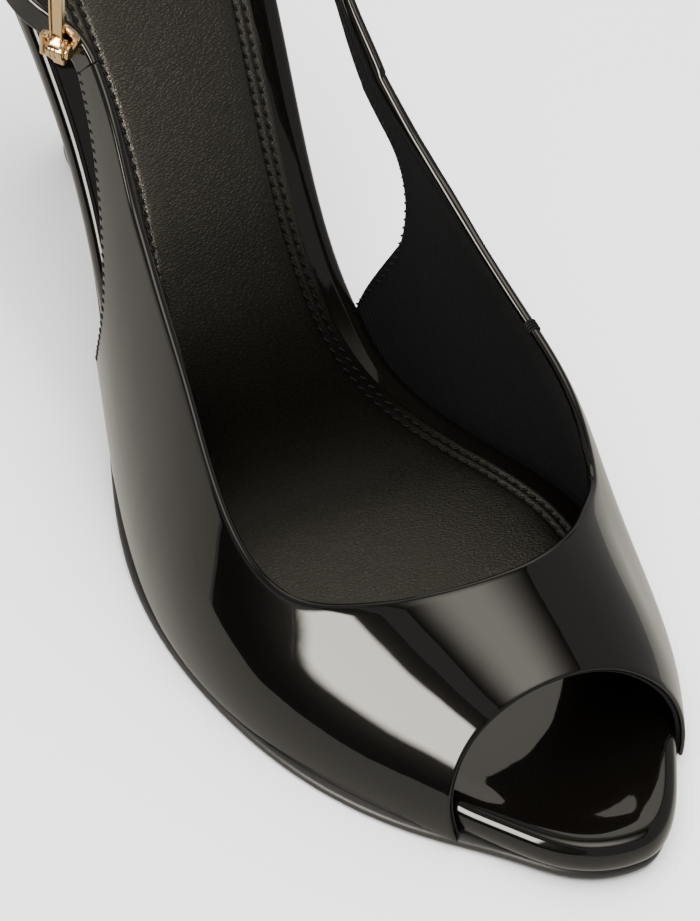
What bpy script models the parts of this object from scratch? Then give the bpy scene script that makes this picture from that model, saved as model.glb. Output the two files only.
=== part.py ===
"""Peep toe pump with a sling strap: one right shoe, standing empty on a floor.

The toe points along -Y, the inner side of the foot is +X and the floor is z = 0. Tables and sizes are in
millimetres and are written in the maker's own way: `along` runs back from the tip of the toe, `across` is
positive towards the inner side, and heights rise from the floor or from the foot bed.
"""

import math
from collections import namedtuple

import bmesh
import bpy
import numpy as np

MM = 0.001

# Driving sizes of the shoe
SHOE_LENGTH = 218.0
MIDDLE_ALONG = 108.89
MIDDLE_ACROSS = -0.48
GAP = 0.3
OUTSOLE_THICKNESS = 2.0
FOREPART_HEIGHT = OUTSOLE_THICKNESS + GAP
WALL = 1.6
INSOLE_THICKNESS = 5.4
TOE_RIM_EXTRA = 1.0
TOE_DISH = 0.35
INSOLE_TUCK = 0.9
TUCK_STARTS = (18.0, 28.0)
TUCK_ENDS = (112.0, 124.0)
OPEN_TOE = (22.0, 46.0)
SOCK_THICKNESS = 1.5
SOCK_START = 46.0
STRAP_WIDTH = 5.8
STRAP_THICKNESS = 2.0
STRAP_END_GAP = 0.5
TOP_PIECE_HEIGHT = 6.0
WALL_LEANS_BY = 0.6

# Step over which a direction is measured, in millimetres or degrees
SMALL_STEP = 0.4

# How finely the curved pieces are divided
OUTLINE_STEPS = 44
SIDE_ROWS = 8
RIB_STEPS = 3
STRAP_STEPS = 4
SPINE_ROOM = 14.0
INNER_RINGS = (0.5, 1)

# Edge of the foot bed, seen from above
Outline = namedtuple("Outline", "along lateral medial")
OUTLINE = (
    Outline(0, 5.6, 5.6),
    Outline(5, -7.2, 14.3),
    Outline(14, -14.1, 20.7),
    Outline(30, -24.4, 29.8),
    Outline(50, -34.4, 36.5),
    Outline(72, -39.0, 37.6),
    Outline(95, -37.0, 29.2),
    Outline(120, -30.0, 20.6),
    Outline(150, -23.4, 21.4),
    Outline(180, -24.4, 25.4),
    Outline(205, -19.6, 20.2),
    Outline(SHOE_LENGTH, 0, 0),
)

# Steepness of the foot bed: it dips from the toe, lies flat under the ball and climbs to the heel
Pitch = namedtuple("Pitch", "along slope")
PITCH = (
    Pitch(0, -0.07),
    Pitch(22, -0.03),
    Pitch(42, 0),
    Pitch(84, 0),
    Pitch(100, 0.19),
    Pitch(112, 0.50),
    Pitch(124, 0.82),
    Pitch(138, 1.05),
    Pitch(152, 1.14),
    Pitch(166, 1.04),
    Pitch(180, 0.72),
    Pitch(195, 0.46),
    Pitch(SHOE_LENGTH, 0.28),
)

# Cross sections of the upper. `crest` is the height of the full arch over the foot bed, `power` its
# fullness, and the walls say how far each side leans out beyond the edge of the foot bed
Section = namedtuple("Section", "along crest power lateral_wall medial_wall")
SECTIONS = (
    Section(0, 14, 2.2, 0, 0),
    Section(15, 22, 2.2, -0.4, 0),
    Section(30, 29, 2.15, -1.0, -2.0),
    Section(50, 37.4, 2.15, -1.4, -4.0),
    Section(75, 48, 2.25, -2.0, 4.2),
    Section(100, 62, 2.2, -3.3, 13.2),
    Section(130, 91, 2.3, -4.0, 11.8),
    Section(165, 120, 2.3, -3.0, 12.0),
)

# The upper is one band that runs from the outer wing round the toe to the inner wing. Each rib joins a place
# on its lower edge to a place on its topline. A place is `along` the shoe and a `turn` in degrees round its
# section, from 0 at the outer edge of the sole, over the foot, to 180 at the inner edge
Rib = namedtuple("Rib", "low_along low_turn top_along top_turn")
OUTER_WING = (
    Rib(146.5, 14.1, 142.5, 20.0),
    Rib(138.7, 14.4, 135.8, 23.0),
    Rib(132.4, 13.0, 129.4, 25.4),
    Rib(127.8, 10.6, 123.6, 27.6),
    Rib(126.2, 7.6, 119.4, 29.8),
    Rib(126.5, 3.8, 115.8, 31.8),
    Rib(128.0, 0, 112.0, 33.8),
)
OUTER_SIDE = (
    OUTER_WING[-1],
    Rib(112, 0, 103.0, 37.9),
    Rib(95, 0, 92.5, 39.6),
    Rib(78, 0, 80.5, 37.8),
    Rib(60, 0, 68.0, 35.8),
    Rib(44, 0, 58.2, 38.6),
    Rib(30, 0, 51.4, 47.2),
    Rib(18.6, 0, 46.7, 58.0),
)
PEEP = (
    OUTER_SIDE[-1],
    Rib(20.5, 11.5, 44.8, 64.4),
    Rib(22.2, 27, 43.3, 71.2),
    Rib(23.4, 46, 42.2, 78.6),
    Rib(23.7, 68, 41.6, 86.4),
    Rib(23.1, 89.5, 41.6, 94.6),
    Rib(21.6, 109, 42.4, 102.6),
    Rib(20.0, 124, 43.7, 109.8),
    Rib(18.6, 141, 45.4, 116.4),
    Rib(17.4, 160, 47.5, 122.4),
    Rib(16.4, 180, 50.2, 128.2),
)
INNER_SIDE = (
    PEEP[-1],
    Rib(27, 180, 53.8, 135.4),
    Rib(40, 180, 58.6, 141.6),
    Rib(54, 180, 65.6, 143.5),
    Rib(68, 180, 74.0, 143.4),
    Rib(82, 180, 83.2, 141.9),
    Rib(96, 180, 92.8, 140.9),
    Rib(110, 180, 102.2, 142.1),
    Rib(122.6, 180, 110.4, 145.1),
)
INNER_WING = (
    INNER_SIDE[-1],
    Rib(119.6, 174, 113.8, 146.8),
    Rib(117.8, 168, 117.0, 148.4),
    Rib(118.8, 161.8, 120.0, 150.0),
    Rib(122.6, 158.6, 123.2, 151.6),
    Rib(127.8, 159.6, 126.4, 153.2),
    Rib(133.0, 161.4, 129.6, 154.8),
)
UPPER_RIBS = (OUTER_WING, OUTER_SIDE, PEEP, INNER_SIDE, INNER_WING)

# Edge of the outsole: how far it stays inside (or, below zero, reaches outside) the edge of the foot bed
SoleEdge = namedtuple("SoleEdge", "along inset")
SOLE_EDGE = (
    SoleEdge(0, 0.7),
    SoleEdge(12, 0.4),
    SoleEdge(24, -1.9),
    SoleEdge(60, -2.1),
    SoleEdge(108, -2.0),
    SoleEdge(132, 0.6),
    SoleEdge(160, 1.0),
    SoleEdge(SHOE_LENGTH, 0.8),
)

# Rims of the layers from the underside up: how far a ring stays inside the layer's edge and how high it lies
RimRow = namedtuple("RimRow", "inset rise")
INSOLE_RIM = (
    RimRow(0.9, 0),
    RimRow(0.2, 0.18 * INSOLE_THICKNESS),
    RimRow(0, 0.48 * INSOLE_THICKNESS),
    RimRow(0.4, 0.78 * INSOLE_THICKNESS),
    RimRow(1.3, 0.95 * INSOLE_THICKNESS),
    RimRow(2.5, INSOLE_THICKNESS),
)
INSOLE_DISH_INSET = 7.0
SOCK_BASE = INSOLE_THICKNESS + GAP
SOCK_RIM = (
    RimRow(7.1, SOCK_BASE),
    RimRow(6.7, SOCK_BASE + 0.5),
    RimRow(6.8, SOCK_BASE + SOCK_THICKNESS - 0.4),
    RimRow(7.7, SOCK_BASE + SOCK_THICKNESS),
)
SOCK_CORNER = 16.0
SOCK_CORNER_FULLNESS = 2.6
OUTSOLE_BASE = -GAP - OUTSOLE_THICKNESS
OUTSOLE_RIM = (
    RimRow(1.1, OUTSOLE_BASE),
    RimRow(0.3, OUTSOLE_BASE + 0.3),
    RimRow(0, OUTSOLE_BASE + 1.0),
    RimRow(0.4, -GAP),
)

# Heel, from the seat down to the top piece. `share` is how far down a row is, `front` and `back` are places
# along the shoe, `across` is its middle, `hollow` is how deep the breast curves in
HeelRow = namedtuple("HeelRow", "share across half_width front back fullness hollow")
HEEL_ROWS = (
    HeelRow(0, 0.4, 22.8, 176.0, 216.2, 2.7, 5.0),
    HeelRow(0.07, 0.5, 21.4, 178.5, 216.0, 2.6, 4.6),
    HeelRow(0.18, 0.9, 17.4, 183.6, 214.8, 2.5, 3.6),
    HeelRow(0.34, 1.7, 12.2, 188.6, 212.6, 2.35, 2.2),
    HeelRow(0.55, 2.7, 8.2, 191.8, 209.6, 2.2, 1.0),
    HeelRow(0.78, 3.6, 6.0, 193.6, 206.8, 2.2, 0.4),
    HeelRow(1, 4.0, 5.2, 194.6, 205.4, 2.2, 0.2),
)
HEEL_POINTS = 28
SEAT_RING_SCALES = (0.02, 0.35, 0.7)

# Heel top piece, from its top down: height over the floor and scale of the section
TopPieceRow = namedtuple("TopPieceRow", "height scale")
TOP_PIECE_ROWS = (
    TopPieceRow(TOP_PIECE_HEIGHT, 1),
    TopPieceRow(0.6, 1),
    TopPieceRow(0, 0.92),
)

# Middle line of the sling strap between the two wings, with its heights from the floor
StrapRow = namedtuple("StrapRow", "across along up")
STRAP_ROWS = (
    StrapRow(26.4, 140.0, 69.2),
    StrapRow(26.8, 153.0, 80.4),
    StrapRow(26.5, 168.0, 94.0),
    StrapRow(24.6, 185.0, 109.4),
    StrapRow(19.0, 201.0, 123.6),
    StrapRow(10.6, 212.0, 132.8),
    StrapRow(0.4, 216.4, 136.4),
    StrapRow(-10.2, 212.0, 132.4),
    StrapRow(-19.6, 201.0, 122.0),
    StrapRow(-26.6, 185.0, 105.4),
    StrapRow(-29.6, 168.0, 87.8),
    StrapRow(-28.7, 158.2, 79.4),
    StrapRow(-26.7, 154.3, 77.4),
    StrapRow(-24.7, 150.5, 76.2),
    StrapRow(-22.9, 147.5, 74.2),
)
STRAP_CORNER = 0.5

# Buckle, laid on the strap just behind the outer wing
BUCKLE_FROM_WING = 3.8
BUCKLE_LENGTH = 4.6
BUCKLE_WIDTH = 8.6
BUCKLE_CORNER = 1.2
BUCKLE_WIRE = 1.2
TONGUE_LENGTH = 14.0
TONGUE_WIDTH = 2.8
TONGUE_THICKNESS = 1.0
TONGUE_CORNER = 0.6
TONGUE_FOOT_DROP = 0.2

# Sections of the tongue from its hinge to its tip
TongueRow = namedtuple("TongueRow", "share scale")
TONGUE_ROWS = (
    TongueRow(0, 0.7),
    TongueRow(0.04, 1),
    TongueRow(0.5, 1),
    TongueRow(0.96, 1),
    TongueRow(1, 0.7),
)


def spline(places, values):
    """Natural cubic spline through a table's column, as a function of place."""
    places = np.asarray(places, float)
    values = np.asarray(values, float)
    count = len(places)
    step = np.diff(places)
    rise = np.diff(values) / step
    matrix = np.eye(count)
    bend = np.zeros(count)
    for row in range(1, count - 1):
        matrix[row, row - 1] = step[row - 1]
        matrix[row, row] = 2 * (step[row - 1] + step[row])
        matrix[row, row + 1] = step[row]
        bend[row] = 6 * (rise[row] - rise[row - 1])
    bend = np.linalg.solve(matrix, bend)

    def value(place):
        place = np.clip(place, places[0], places[-1])
        row = np.clip(np.searchsorted(places, place, side="right") - 1, 0, count - 2)
        left = place - places[row]
        right = places[row + 1] - place
        cubic = (bend[row] * right**3 + bend[row + 1] * left**3) / (6 * step[row])
        start = values[row] / step[row] - bend[row] * step[row] / 6
        end = values[row + 1] / step[row] - bend[row + 1] * step[row] / 6
        return cubic + start * right + end * left

    return value


def column(table, name):
    return [getattr(row, name) for row in table]


def end_angle(along):
    """Half turn from toe to heel, in which the round ends of the outline become plain curves."""
    return np.arccos(np.clip(1 - 2 * np.asarray(along, float) / SHOE_LENGTH, -1, 1))


def height_of_bed():
    """Height of the underside of the insole along the shoe, added up from its steepness."""
    fine = np.linspace(0, SHOE_LENGTH, 1091)
    steep = np.interp(fine, column(PITCH, "along"), column(PITCH, "slope"))
    added = np.concatenate([[0], np.cumsum((steep[1:] + steep[:-1]) / 2 * np.diff(fine))])
    ball = np.interp(60.0, fine, added)
    return fine, added - ball + FOREPART_HEIGHT, steep


BED_ALONG, BED_HEIGHT, BED_SLOPE = height_of_bed()
LATERAL_EDGE = spline(end_angle(column(OUTLINE, "along")), column(OUTLINE, "lateral"))
MEDIAL_EDGE = spline(end_angle(column(OUTLINE, "along")), column(OUTLINE, "medial"))
CREST = spline(column(SECTIONS, "along"), column(SECTIONS, "crest"))
POWER = spline(column(SECTIONS, "along"), column(SECTIONS, "power"))
LATERAL_WALL = spline(column(SECTIONS, "along"), column(SECTIONS, "lateral_wall"))
MEDIAL_WALL = spline(column(SECTIONS, "along"), column(SECTIONS, "medial_wall"))


def bed_height(along):
    return np.interp(along, BED_ALONG, BED_HEIGHT)


def bed_tilt(along):
    return np.arctan(np.interp(along, BED_ALONG, BED_SLOPE))


def upper_point(along, turn):
    """Outer face of the upper. `turn` goes from 0 at the outer edge of the sole over the foot to 180."""
    along = np.asarray(along, float)
    angle = np.radians(np.asarray(turn, float))
    inner = LATERAL_EDGE(end_angle(along)) - GAP - WALL
    outer = MEDIAL_EDGE(end_angle(along)) + GAP + WALL
    middle = (inner + outer) / 2
    half = (outer - inner) / 2
    sine = np.abs(np.sin(angle))
    cosine = np.cos(angle)
    lean = np.clip(sine / WALL_LEANS_BY, 0, 1)
    lean = lean * lean * (3 - 2 * lean)
    wall = np.where(cosine > 0, LATERAL_WALL(along), MEDIAL_WALL(along))
    exponent = 2 / POWER(along)
    across = middle - np.sign(cosine) * (half + wall * lean) * np.abs(cosine) ** exponent
    height = bed_height(along) + CREST(along) * sine**exponent
    return np.stack([across, along + 0 * across, height], -1)


def wall_normal(along, turn):
    """Outward direction of the upper's face."""
    turn = np.clip(turn, SMALL_STEP, 180 - SMALL_STEP)
    down_the_foot = upper_point(along + SMALL_STEP, turn) - upper_point(along - SMALL_STEP, turn)
    round_the_foot = upper_point(along, turn + SMALL_STEP) - upper_point(along, turn - SMALL_STEP)
    normal = np.cross(round_the_foot, down_the_foot)
    return normal / np.linalg.norm(normal, axis=-1, keepdims=True)


def soft_step(place, start, end):
    share = np.clip((np.asarray(place, float) - start) / (end - start), 0, 1)
    return share * share * (3 - 2 * share)


def on_bed(across, along, rise):
    """Point at a true distance above (or below) the underside of the insole."""
    tilt = bed_tilt(along)
    return np.stack([across, along - rise * np.sin(tilt), bed_height(along) + rise * np.cos(tilt)], -1)


def bed_loop(inset, start=0.0, corner=0.0):
    """Closed outline seen from above, `inset` inside the edge of the foot bed, from `start` to the heel.

    With a `corner` the front end is nearly straight, with corners of about that radius. The third array is
    the place along the shoe that a point and the one across from it share.
    """
    swing = np.linspace(0, math.pi, OUTLINE_STEPS + 1)
    along = start + (SHOE_LENGTH - start) / 2 * (1 - np.cos(swing))
    low = LATERAL_EDGE(end_angle(along))
    high = MEDIAL_EDGE(end_angle(along))
    if corner:
        middle = (low + high) / 2
        share = np.clip((along - start) / corner, 0, 1)
        closing = (1 - (1 - share) ** SOCK_CORNER_FULLNESS) ** (1 / SOCK_CORNER_FULLNESS)
        low = middle + (low - middle) * closing
        high = middle + (high - middle) * closing
    across = np.concatenate([low, high[-2:0:-1]])
    along = np.concatenate([along, along[-2:0:-1]])
    ahead = np.roll(np.stack([across, along], -1), -1, 0) - np.roll(np.stack([across, along], -1), 1, 0)
    ahead /= np.linalg.norm(ahead, axis=1, keepdims=True)
    inset = inset(along) if callable(inset) else inset
    return across + ahead[:, 1] * inset, along - ahead[:, 0] * inset, along


def spine_of(shared, room):
    """Middle line that a loop's points close on, kept `room` away from both ends."""
    along_spine = np.clip(shared, shared.min() + room, shared.max() - room)
    angle = end_angle(along_spine)
    return (LATERAL_EDGE(angle) + MEDIAL_EDGE(angle)) / 2, along_spine


def layer(profile, **loop):
    """Rings of a thin layer of the sole, from its underside's middle, round its edge, to its top's middle."""
    rings = []
    for inset, rise in profile:
        across, along, shared = bed_loop(inset, **loop)
        height = rise(shared) if callable(rise) else np.full_like(along, rise)
        rings.append((across, along, height))
    middle, along_spine = spine_of(shared, SPINE_ROOM)
    for place in (0, -1):
        across, along, height = rings[place]
        for share in INNER_RINGS:
            ring = (
                across + (middle - across) * share,
                along + (along_spine - along) * share,
                height,
            )
            if place == 0:
                rings.insert(0, ring)
            else:
                rings.append(ring)
    return [on_bed(*ring) for ring in rings]


def material(name, colour, roughness, metallic=0.0, coat=0.0):
    made = bpy.data.materials.new(name)
    made.use_nodes = True
    shader = made.node_tree.nodes["Principled BSDF"]
    shader.inputs["Base Color"].default_value = (*colour, 1)
    shader.inputs["Roughness"].default_value = roughness
    shader.inputs["Metallic"].default_value = metallic
    shader.inputs["Coat Weight"].default_value = coat
    made.diffuse_color = (*colour, 1)
    return made


def finish(mesh, name, look):
    """Closes a bmesh into a named object in metres, toe towards -Y."""
    bmesh.ops.remove_doubles(mesh, verts=mesh.verts, dist=0.004)
    bmesh.ops.dissolve_degenerate(mesh, edges=mesh.edges, dist=0.001)
    bmesh.ops.recalc_face_normals(mesh, faces=mesh.faces)
    for vertex in mesh.verts:
        x, y, z = vertex.co
        vertex.co = ((x - MIDDLE_ACROSS) * MM, (y - MIDDLE_ALONG) * MM, z * MM)
    data = bpy.data.meshes.new(name)
    mesh.to_mesh(data)
    mesh.free()
    data.materials.append(look)
    data.shade_smooth()
    data.set_sharp_from_angle(angle=math.radians(40))
    made = bpy.data.objects.new(name, data)
    bpy.context.scene.collection.objects.link(made)
    return made


def loft(name, look, rings, closed_ends=True, round_trip=False):
    """Skin over rings of equal length. The ends are filled, or the last ring joins the first."""
    mesh = bmesh.new()
    grid = [[mesh.verts.new(point) for point in ring] for ring in rings]
    count = len(grid[0])
    pairs = list(zip(grid, grid[1:]))
    if round_trip:
        pairs.append((grid[-1], grid[0]))
    for low, high in pairs:
        for place in range(count):
            after = (place + 1) % count
            mesh.faces.new((low[place], low[after], high[after], high[place]))
    if closed_ends and not round_trip:
        mesh.faces.new(grid[0])
        mesh.faces.new(grid[-1])
    return finish(mesh, name, look)


def walled_band(name, look, outer, inner):
    """One wall between two grids of points that match row by row."""
    mesh = bmesh.new()
    columns, rows = outer.shape[:2]
    front = [[mesh.verts.new(point) for point in line] for line in outer]
    back = [[mesh.verts.new(point) for point in line] for line in inner]
    for here in range(columns - 1):
        there = here + 1
        for row in range(rows - 1):
            mesh.faces.new((front[here][row], front[there][row], front[there][row + 1], front[here][row + 1]))
            mesh.faces.new((back[here][row], back[here][row + 1], back[there][row + 1], back[there][row]))
        for row in (0, rows - 1):
            mesh.faces.new((front[here][row], front[there][row], back[there][row], back[here][row]))
    for here in (0, columns - 1):
        for row in range(rows - 1):
            mesh.faces.new((front[here][row], front[here][row + 1], back[here][row + 1], back[here][row]))
    return finish(mesh, name, look)


def upper_grid():
    """Places of the upper's columns: from its lower edge to the topline, all the way round."""
    low_along, low_turn = [], []
    top_rows = [rib for part in UPPER_RIBS for rib in part[:-1]] + [UPPER_RIBS[-1][-1]]
    counter = np.arange(len(top_rows))
    fine = np.linspace(0, counter[-1], counter[-1] * RIB_STEPS + 1)
    top_along = spline(counter, column(top_rows, "top_along"))(fine)
    top_turn = spline(counter, column(top_rows, "top_turn"))(fine)
    for part in UPPER_RIBS:
        counter = np.arange(len(part))
        fine = np.linspace(0, counter[-1], counter[-1] * RIB_STEPS + 1)
        if part is not UPPER_RIBS[-1]:
            fine = fine[:-1]
        low_along.append(spline(counter, column(part, "low_along"))(fine))
        low_turn.append(spline(counter, column(part, "low_turn"))(fine))
    low_along = np.concatenate(low_along)
    low_turn = np.clip(np.concatenate(low_turn), 0, 180)
    share = np.linspace(0, 1, SIDE_ROWS + 1)
    along = low_along[:, None] + (top_along - low_along)[:, None] * share
    turn = low_turn[:, None] + (top_turn - low_turn)[:, None] * share
    return along, turn


def make_upper(look):
    along, turn = upper_grid()
    outer = upper_point(along, turn)
    inner = outer - WALL * wall_normal(along, turn)
    return walled_band("upper", look, outer, inner)


def insole_edge(extra):
    """Inset of a ring of the insole: tucked in a little where the upper's wall passes it."""

    def inset(along):
        return extra + INSOLE_TUCK * soft_step(along, *TUCK_STARTS) * (1 - soft_step(along, *TUCK_ENDS))

    return inset


def insole_rise(height, dish=0.0):
    """Height of a ring of the insole, thicker in the open toe, where its top is dished."""

    def rise(along):
        front = 1 - soft_step(along, *OPEN_TOE)
        return height * (1 + TOE_RIM_EXTRA / INSOLE_THICKNESS * front) - dish * front

    return rise


def make_insole(look):
    profile = [(insole_edge(row.inset), insole_rise(row.rise)) for row in INSOLE_RIM]
    profile.append((insole_edge(INSOLE_DISH_INSET), insole_rise(INSOLE_THICKNESS, TOE_DISH)))
    return loft("insole", look, layer(profile), closed_ends=False)


def make_sock(look):
    return loft("sock", look, layer(SOCK_RIM, start=SOCK_START, corner=SOCK_CORNER), closed_ends=False)


def outsole_edge(extra):
    """Inset of a ring of the outsole."""
    edge = spline(column(SOLE_EDGE, "along"), column(SOLE_EDGE, "inset"))
    return lambda along: edge(along) + extra


def make_outsole(look):
    profile = [(outsole_edge(row.inset), row.rise) for row in OUTSOLE_RIM]
    return loft("outsole", look, layer(profile), closed_ends=False)


def under_the_sole(along):
    """Height of the surface that the heel is fixed to, a gap below the outsole."""
    rise = -2 * GAP - OUTSOLE_THICKNESS
    tilt = bed_tilt(BED_ALONG)
    return np.interp(along, BED_ALONG - rise * np.sin(tilt), BED_HEIGHT + rise * np.cos(tilt))


def heel_ring(row, scale=1.0):
    """One closed section of the heel: full at the back, hollow at the breast."""
    angle = np.linspace(0, 2 * math.pi, HEEL_POINTS, endpoint=False)
    sine, cosine = np.sin(angle), np.cos(angle)
    exponent = 2 / row.fullness
    across = row.half_width * np.sign(cosine) * np.abs(cosine) ** exponent
    behind = (row.back - row.front) * np.abs(sine) ** exponent
    along = row.front + np.where(sine > 0, behind, row.hollow * np.abs(sine))
    middle = (row.front + row.hollow + row.back) / 2
    across = row.across + across * scale
    along = middle + (along - middle) * scale
    seat = under_the_sole(along)
    low = TOP_PIECE_HEIGHT + GAP
    return np.stack([across, along, seat + (low - seat) * row.share], -1)


def make_heel(look):
    seat = HEEL_ROWS[0]
    rings = [heel_ring(seat, scale) for scale in SEAT_RING_SCALES]
    rings += [heel_ring(row) for row in HEEL_ROWS]
    return loft("heel", look, rings)


def make_heel_top_piece(look):
    foot = HEEL_ROWS[-1]
    rings = []
    for row in TOP_PIECE_ROWS:
        ring = heel_ring(foot, row.scale)
        ring[:, 2] = row.height
        rings.append(ring)
    return loft("heel_top_piece", look, rings)


def wing_tip(rib):
    """Middle of the end of a wing, in the middle of its wall."""
    along = (rib.low_along + rib.top_along) / 2
    turn = (rib.low_turn + rib.top_turn) / 2
    return upper_point(along, turn) - wall_normal(along, turn) * WALL / 2


def strap_path():
    """Places, directions, widths and outward directions along the sling strap."""
    start = wing_tip(INNER_WING[-1])
    end = wing_tip(OUTER_WING[0])
    places = np.array([start, *STRAP_ROWS, end], float)
    reach = np.concatenate([[0], np.cumsum(np.linalg.norm(np.diff(places, axis=0), axis=1))])
    curve = [spline(reach, places[:, axis]) for axis in range(3)]
    fine = np.linspace(reach[0] + STRAP_END_GAP, reach[-1] - STRAP_END_GAP, (len(places) - 1) * STRAP_STEPS + 1)
    middle = np.stack([axis(fine) for axis in curve], -1)
    ahead = np.stack([axis(fine + SMALL_STEP) - axis(fine - SMALL_STEP) for axis in curve], -1)
    ahead /= np.linalg.norm(ahead, axis=1, keepdims=True)
    up = np.array([0.0, 0.0, 1.0])
    width = up - ahead * (ahead @ up)[:, None]
    width /= np.linalg.norm(width, axis=1, keepdims=True)
    outward = np.cross(ahead, width)
    return fine, middle, ahead, width, outward


def make_sling_strap(look):
    _, middle, _, width, outward = strap_path()
    side = STRAP_WIDTH / 2
    face = STRAP_THICKNESS / 2
    corner = STRAP_CORNER
    section = (
        (-side, -face + corner), (-side + corner, -face), (0, -face), (side - corner, -face),
        (side, -face + corner), (side, face - corner), (side - corner, face), (0, face),
        (-side + corner, face), (-side, face - corner),
    )
    rings = [
        [centre + across * wide + depth * out for across, depth in section]
        for centre, wide, out in zip(middle, width, outward)
    ]
    return loft("sling_strap", look, rings)


def buckle_place():
    """Middle of the buckle on the strap's outer face, with its own three directions."""
    reach, middle, ahead, width, outward = strap_path()
    row = int(np.argmin(np.abs(reach - (reach[-1] - BUCKLE_FROM_WING - BUCKLE_LENGTH / 2))))
    return middle[row], ahead[row], width[row], outward[row]


def make_buckle_frame(look):
    centre, ahead, width, outward = buckle_place()
    centre = centre + outward * (STRAP_THICKNESS / 2 + GAP + BUCKLE_WIRE / 2)
    radius = BUCKLE_WIRE / 2
    half_length = BUCKLE_LENGTH / 2 - radius - BUCKLE_CORNER
    half_width = BUCKLE_WIDTH / 2 - radius - BUCKLE_CORNER
    rings = []
    for quarter, (lengthwise, sideways) in enumerate(((1, 1), (-1, 1), (-1, -1), (1, -1))):
        for step in range(4):
            angle = math.pi / 2 * (quarter + step / 3)
            out = ahead * math.cos(angle) + width * math.sin(angle)
            bend = centre + ahead * half_length * lengthwise + width * half_width * sideways
            rings.append(
                [
                    bend + out * (BUCKLE_CORNER + radius * math.cos(turn)) + outward * radius * math.sin(turn)
                    for turn in np.linspace(0, 2 * math.pi, 8, endpoint=False)
                ]
            )
    return loft("buckle_frame", look, rings, round_trip=True)


def make_buckle_tongue(look):
    centre, ahead, width, outward = buckle_place()
    lift = STRAP_THICKNESS / 2 + GAP + BUCKLE_WIRE + GAP + TONGUE_THICKNESS / 2
    root = centre - width * TONGUE_FOOT_DROP + outward * lift
    upright = np.array([0.0, 0.0, 1.0])
    sideways = np.cross(outward, upright)
    side = TONGUE_WIDTH / 2
    face = TONGUE_THICKNESS / 2
    low_side = side * TONGUE_CORNER
    low_face = face * TONGUE_CORNER
    section = (
        (-side, -low_face), (-low_side, -face), (low_side, -face), (side, -low_face),
        (side, low_face), (low_side, face), (-low_side, face), (-side, low_face),
    )
    rings = []
    for row in TONGUE_ROWS:
        place = root + upright * TONGUE_LENGTH * row.share
        rings.append([place + (sideways * across + outward * depth) * row.scale for across, depth in section])
    return loft("buckle_tongue", look, rings)


def main():
    for old in list(bpy.data.objects):
        bpy.data.objects.remove(old, do_unlink=True)
    patent = material("black patent", (0.012, 0.011, 0.010), 0.08, coat=1.0)
    sock_leather = material("sock leather", (0.035, 0.032, 0.028), 0.6)
    rubber = material("sole rubber", (0.02, 0.02, 0.02), 0.5)
    gold = material("pale gold", (0.83, 0.68, 0.45), 0.15, metallic=1.0)
    make_outsole(rubber)
    make_insole(patent)
    make_sock(sock_leather)
    make_upper(patent)
    make_sling_strap(patent)
    make_heel(patent)
    make_heel_top_piece(rubber)
    make_buckle_frame(gold)
    make_buckle_tongue(gold)


main()
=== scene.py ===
"""Looks of a peep toe pump with a sling strap, one right shoe on a pale studio floor.

Tables and sizes are in millimetres, in the maker's own way: `along` runs back from the tip of the toe,
`across` is positive towards the inner side of the foot, and heights rise from the floor. `to_frame` turns
such a point into the frame, where the toe points along -Y and the inner side is +X.
"""

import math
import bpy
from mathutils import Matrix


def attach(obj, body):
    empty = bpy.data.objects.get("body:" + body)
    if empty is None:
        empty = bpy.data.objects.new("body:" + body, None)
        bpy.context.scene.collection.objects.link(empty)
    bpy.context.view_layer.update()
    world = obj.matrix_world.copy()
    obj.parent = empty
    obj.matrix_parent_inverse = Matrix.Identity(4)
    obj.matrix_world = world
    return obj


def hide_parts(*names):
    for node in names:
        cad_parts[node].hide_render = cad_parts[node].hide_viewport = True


bl_info = {
    "name": "Peep toe pump",
    "version": (1, 0, 0),
    "blender": (4, 5, 0),
    "location": "View3D > Sidebar > Shoe",
    "description": "Dresses a sling back pump: upper, lining, sock, stitches, heel, buckle and studio",
    "category": "Object",
}

from collections import namedtuple
from functools import cache

import bmesh
import bpy
import numpy as np
from mathutils import Matrix, Vector

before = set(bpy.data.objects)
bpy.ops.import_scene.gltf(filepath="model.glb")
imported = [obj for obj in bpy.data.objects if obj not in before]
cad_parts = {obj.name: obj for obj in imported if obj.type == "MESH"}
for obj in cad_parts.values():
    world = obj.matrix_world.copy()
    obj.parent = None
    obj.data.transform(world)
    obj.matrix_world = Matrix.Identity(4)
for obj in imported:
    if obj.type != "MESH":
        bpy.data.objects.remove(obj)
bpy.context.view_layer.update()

MM = 0.001
BODY = "root"

# Sizes that the last gives
SHOE_LENGTH = 218.0
MIDDLE_ALONG = 108.89
MIDDLE_ACROSS = -0.48
GAP = 0.3
OUTSOLE_THICKNESS = 2.0
FOREPART_HEIGHT = OUTSOLE_THICKNESS + GAP
WALL = 1.6
INSOLE_THICKNESS = 5.4
TOE_RIM_EXTRA = 1.0
TOE_DISH = 0.35
INSOLE_TUCK = 0.9
TUCK_STARTS = (18.0, 28.0)
TUCK_ENDS = (112.0, 124.0)
OPEN_TOE = (22.0, 46.0)
SOCK_THICKNESS = 1.5
SOCK_START = 46.0
STRAP_WIDTH = 5.8
STRAP_THICKNESS = 2.0
TOP_PIECE_HEIGHT = 6.0
WALL_LEANS_BY = 0.6

# Step over which a direction is measured, in millimetres or degrees
SMALL_STEP = 0.4

# Length of the strap over which it grows out of the inner wing. The outer wing takes half of it
STRAP_BLEND = 16.0

# How far a skin keeps off the one beside it, and how far down the upper's lower edge is let into the sole
SKIN_GAP = 0.02
SUNK_EDGE = GAP + 0.05

# How deep edges and seams are pressed in, and how far below its own top the seam of the lining runs
PRESS = 0.12
SEAM_DROP = 1.5

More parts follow.
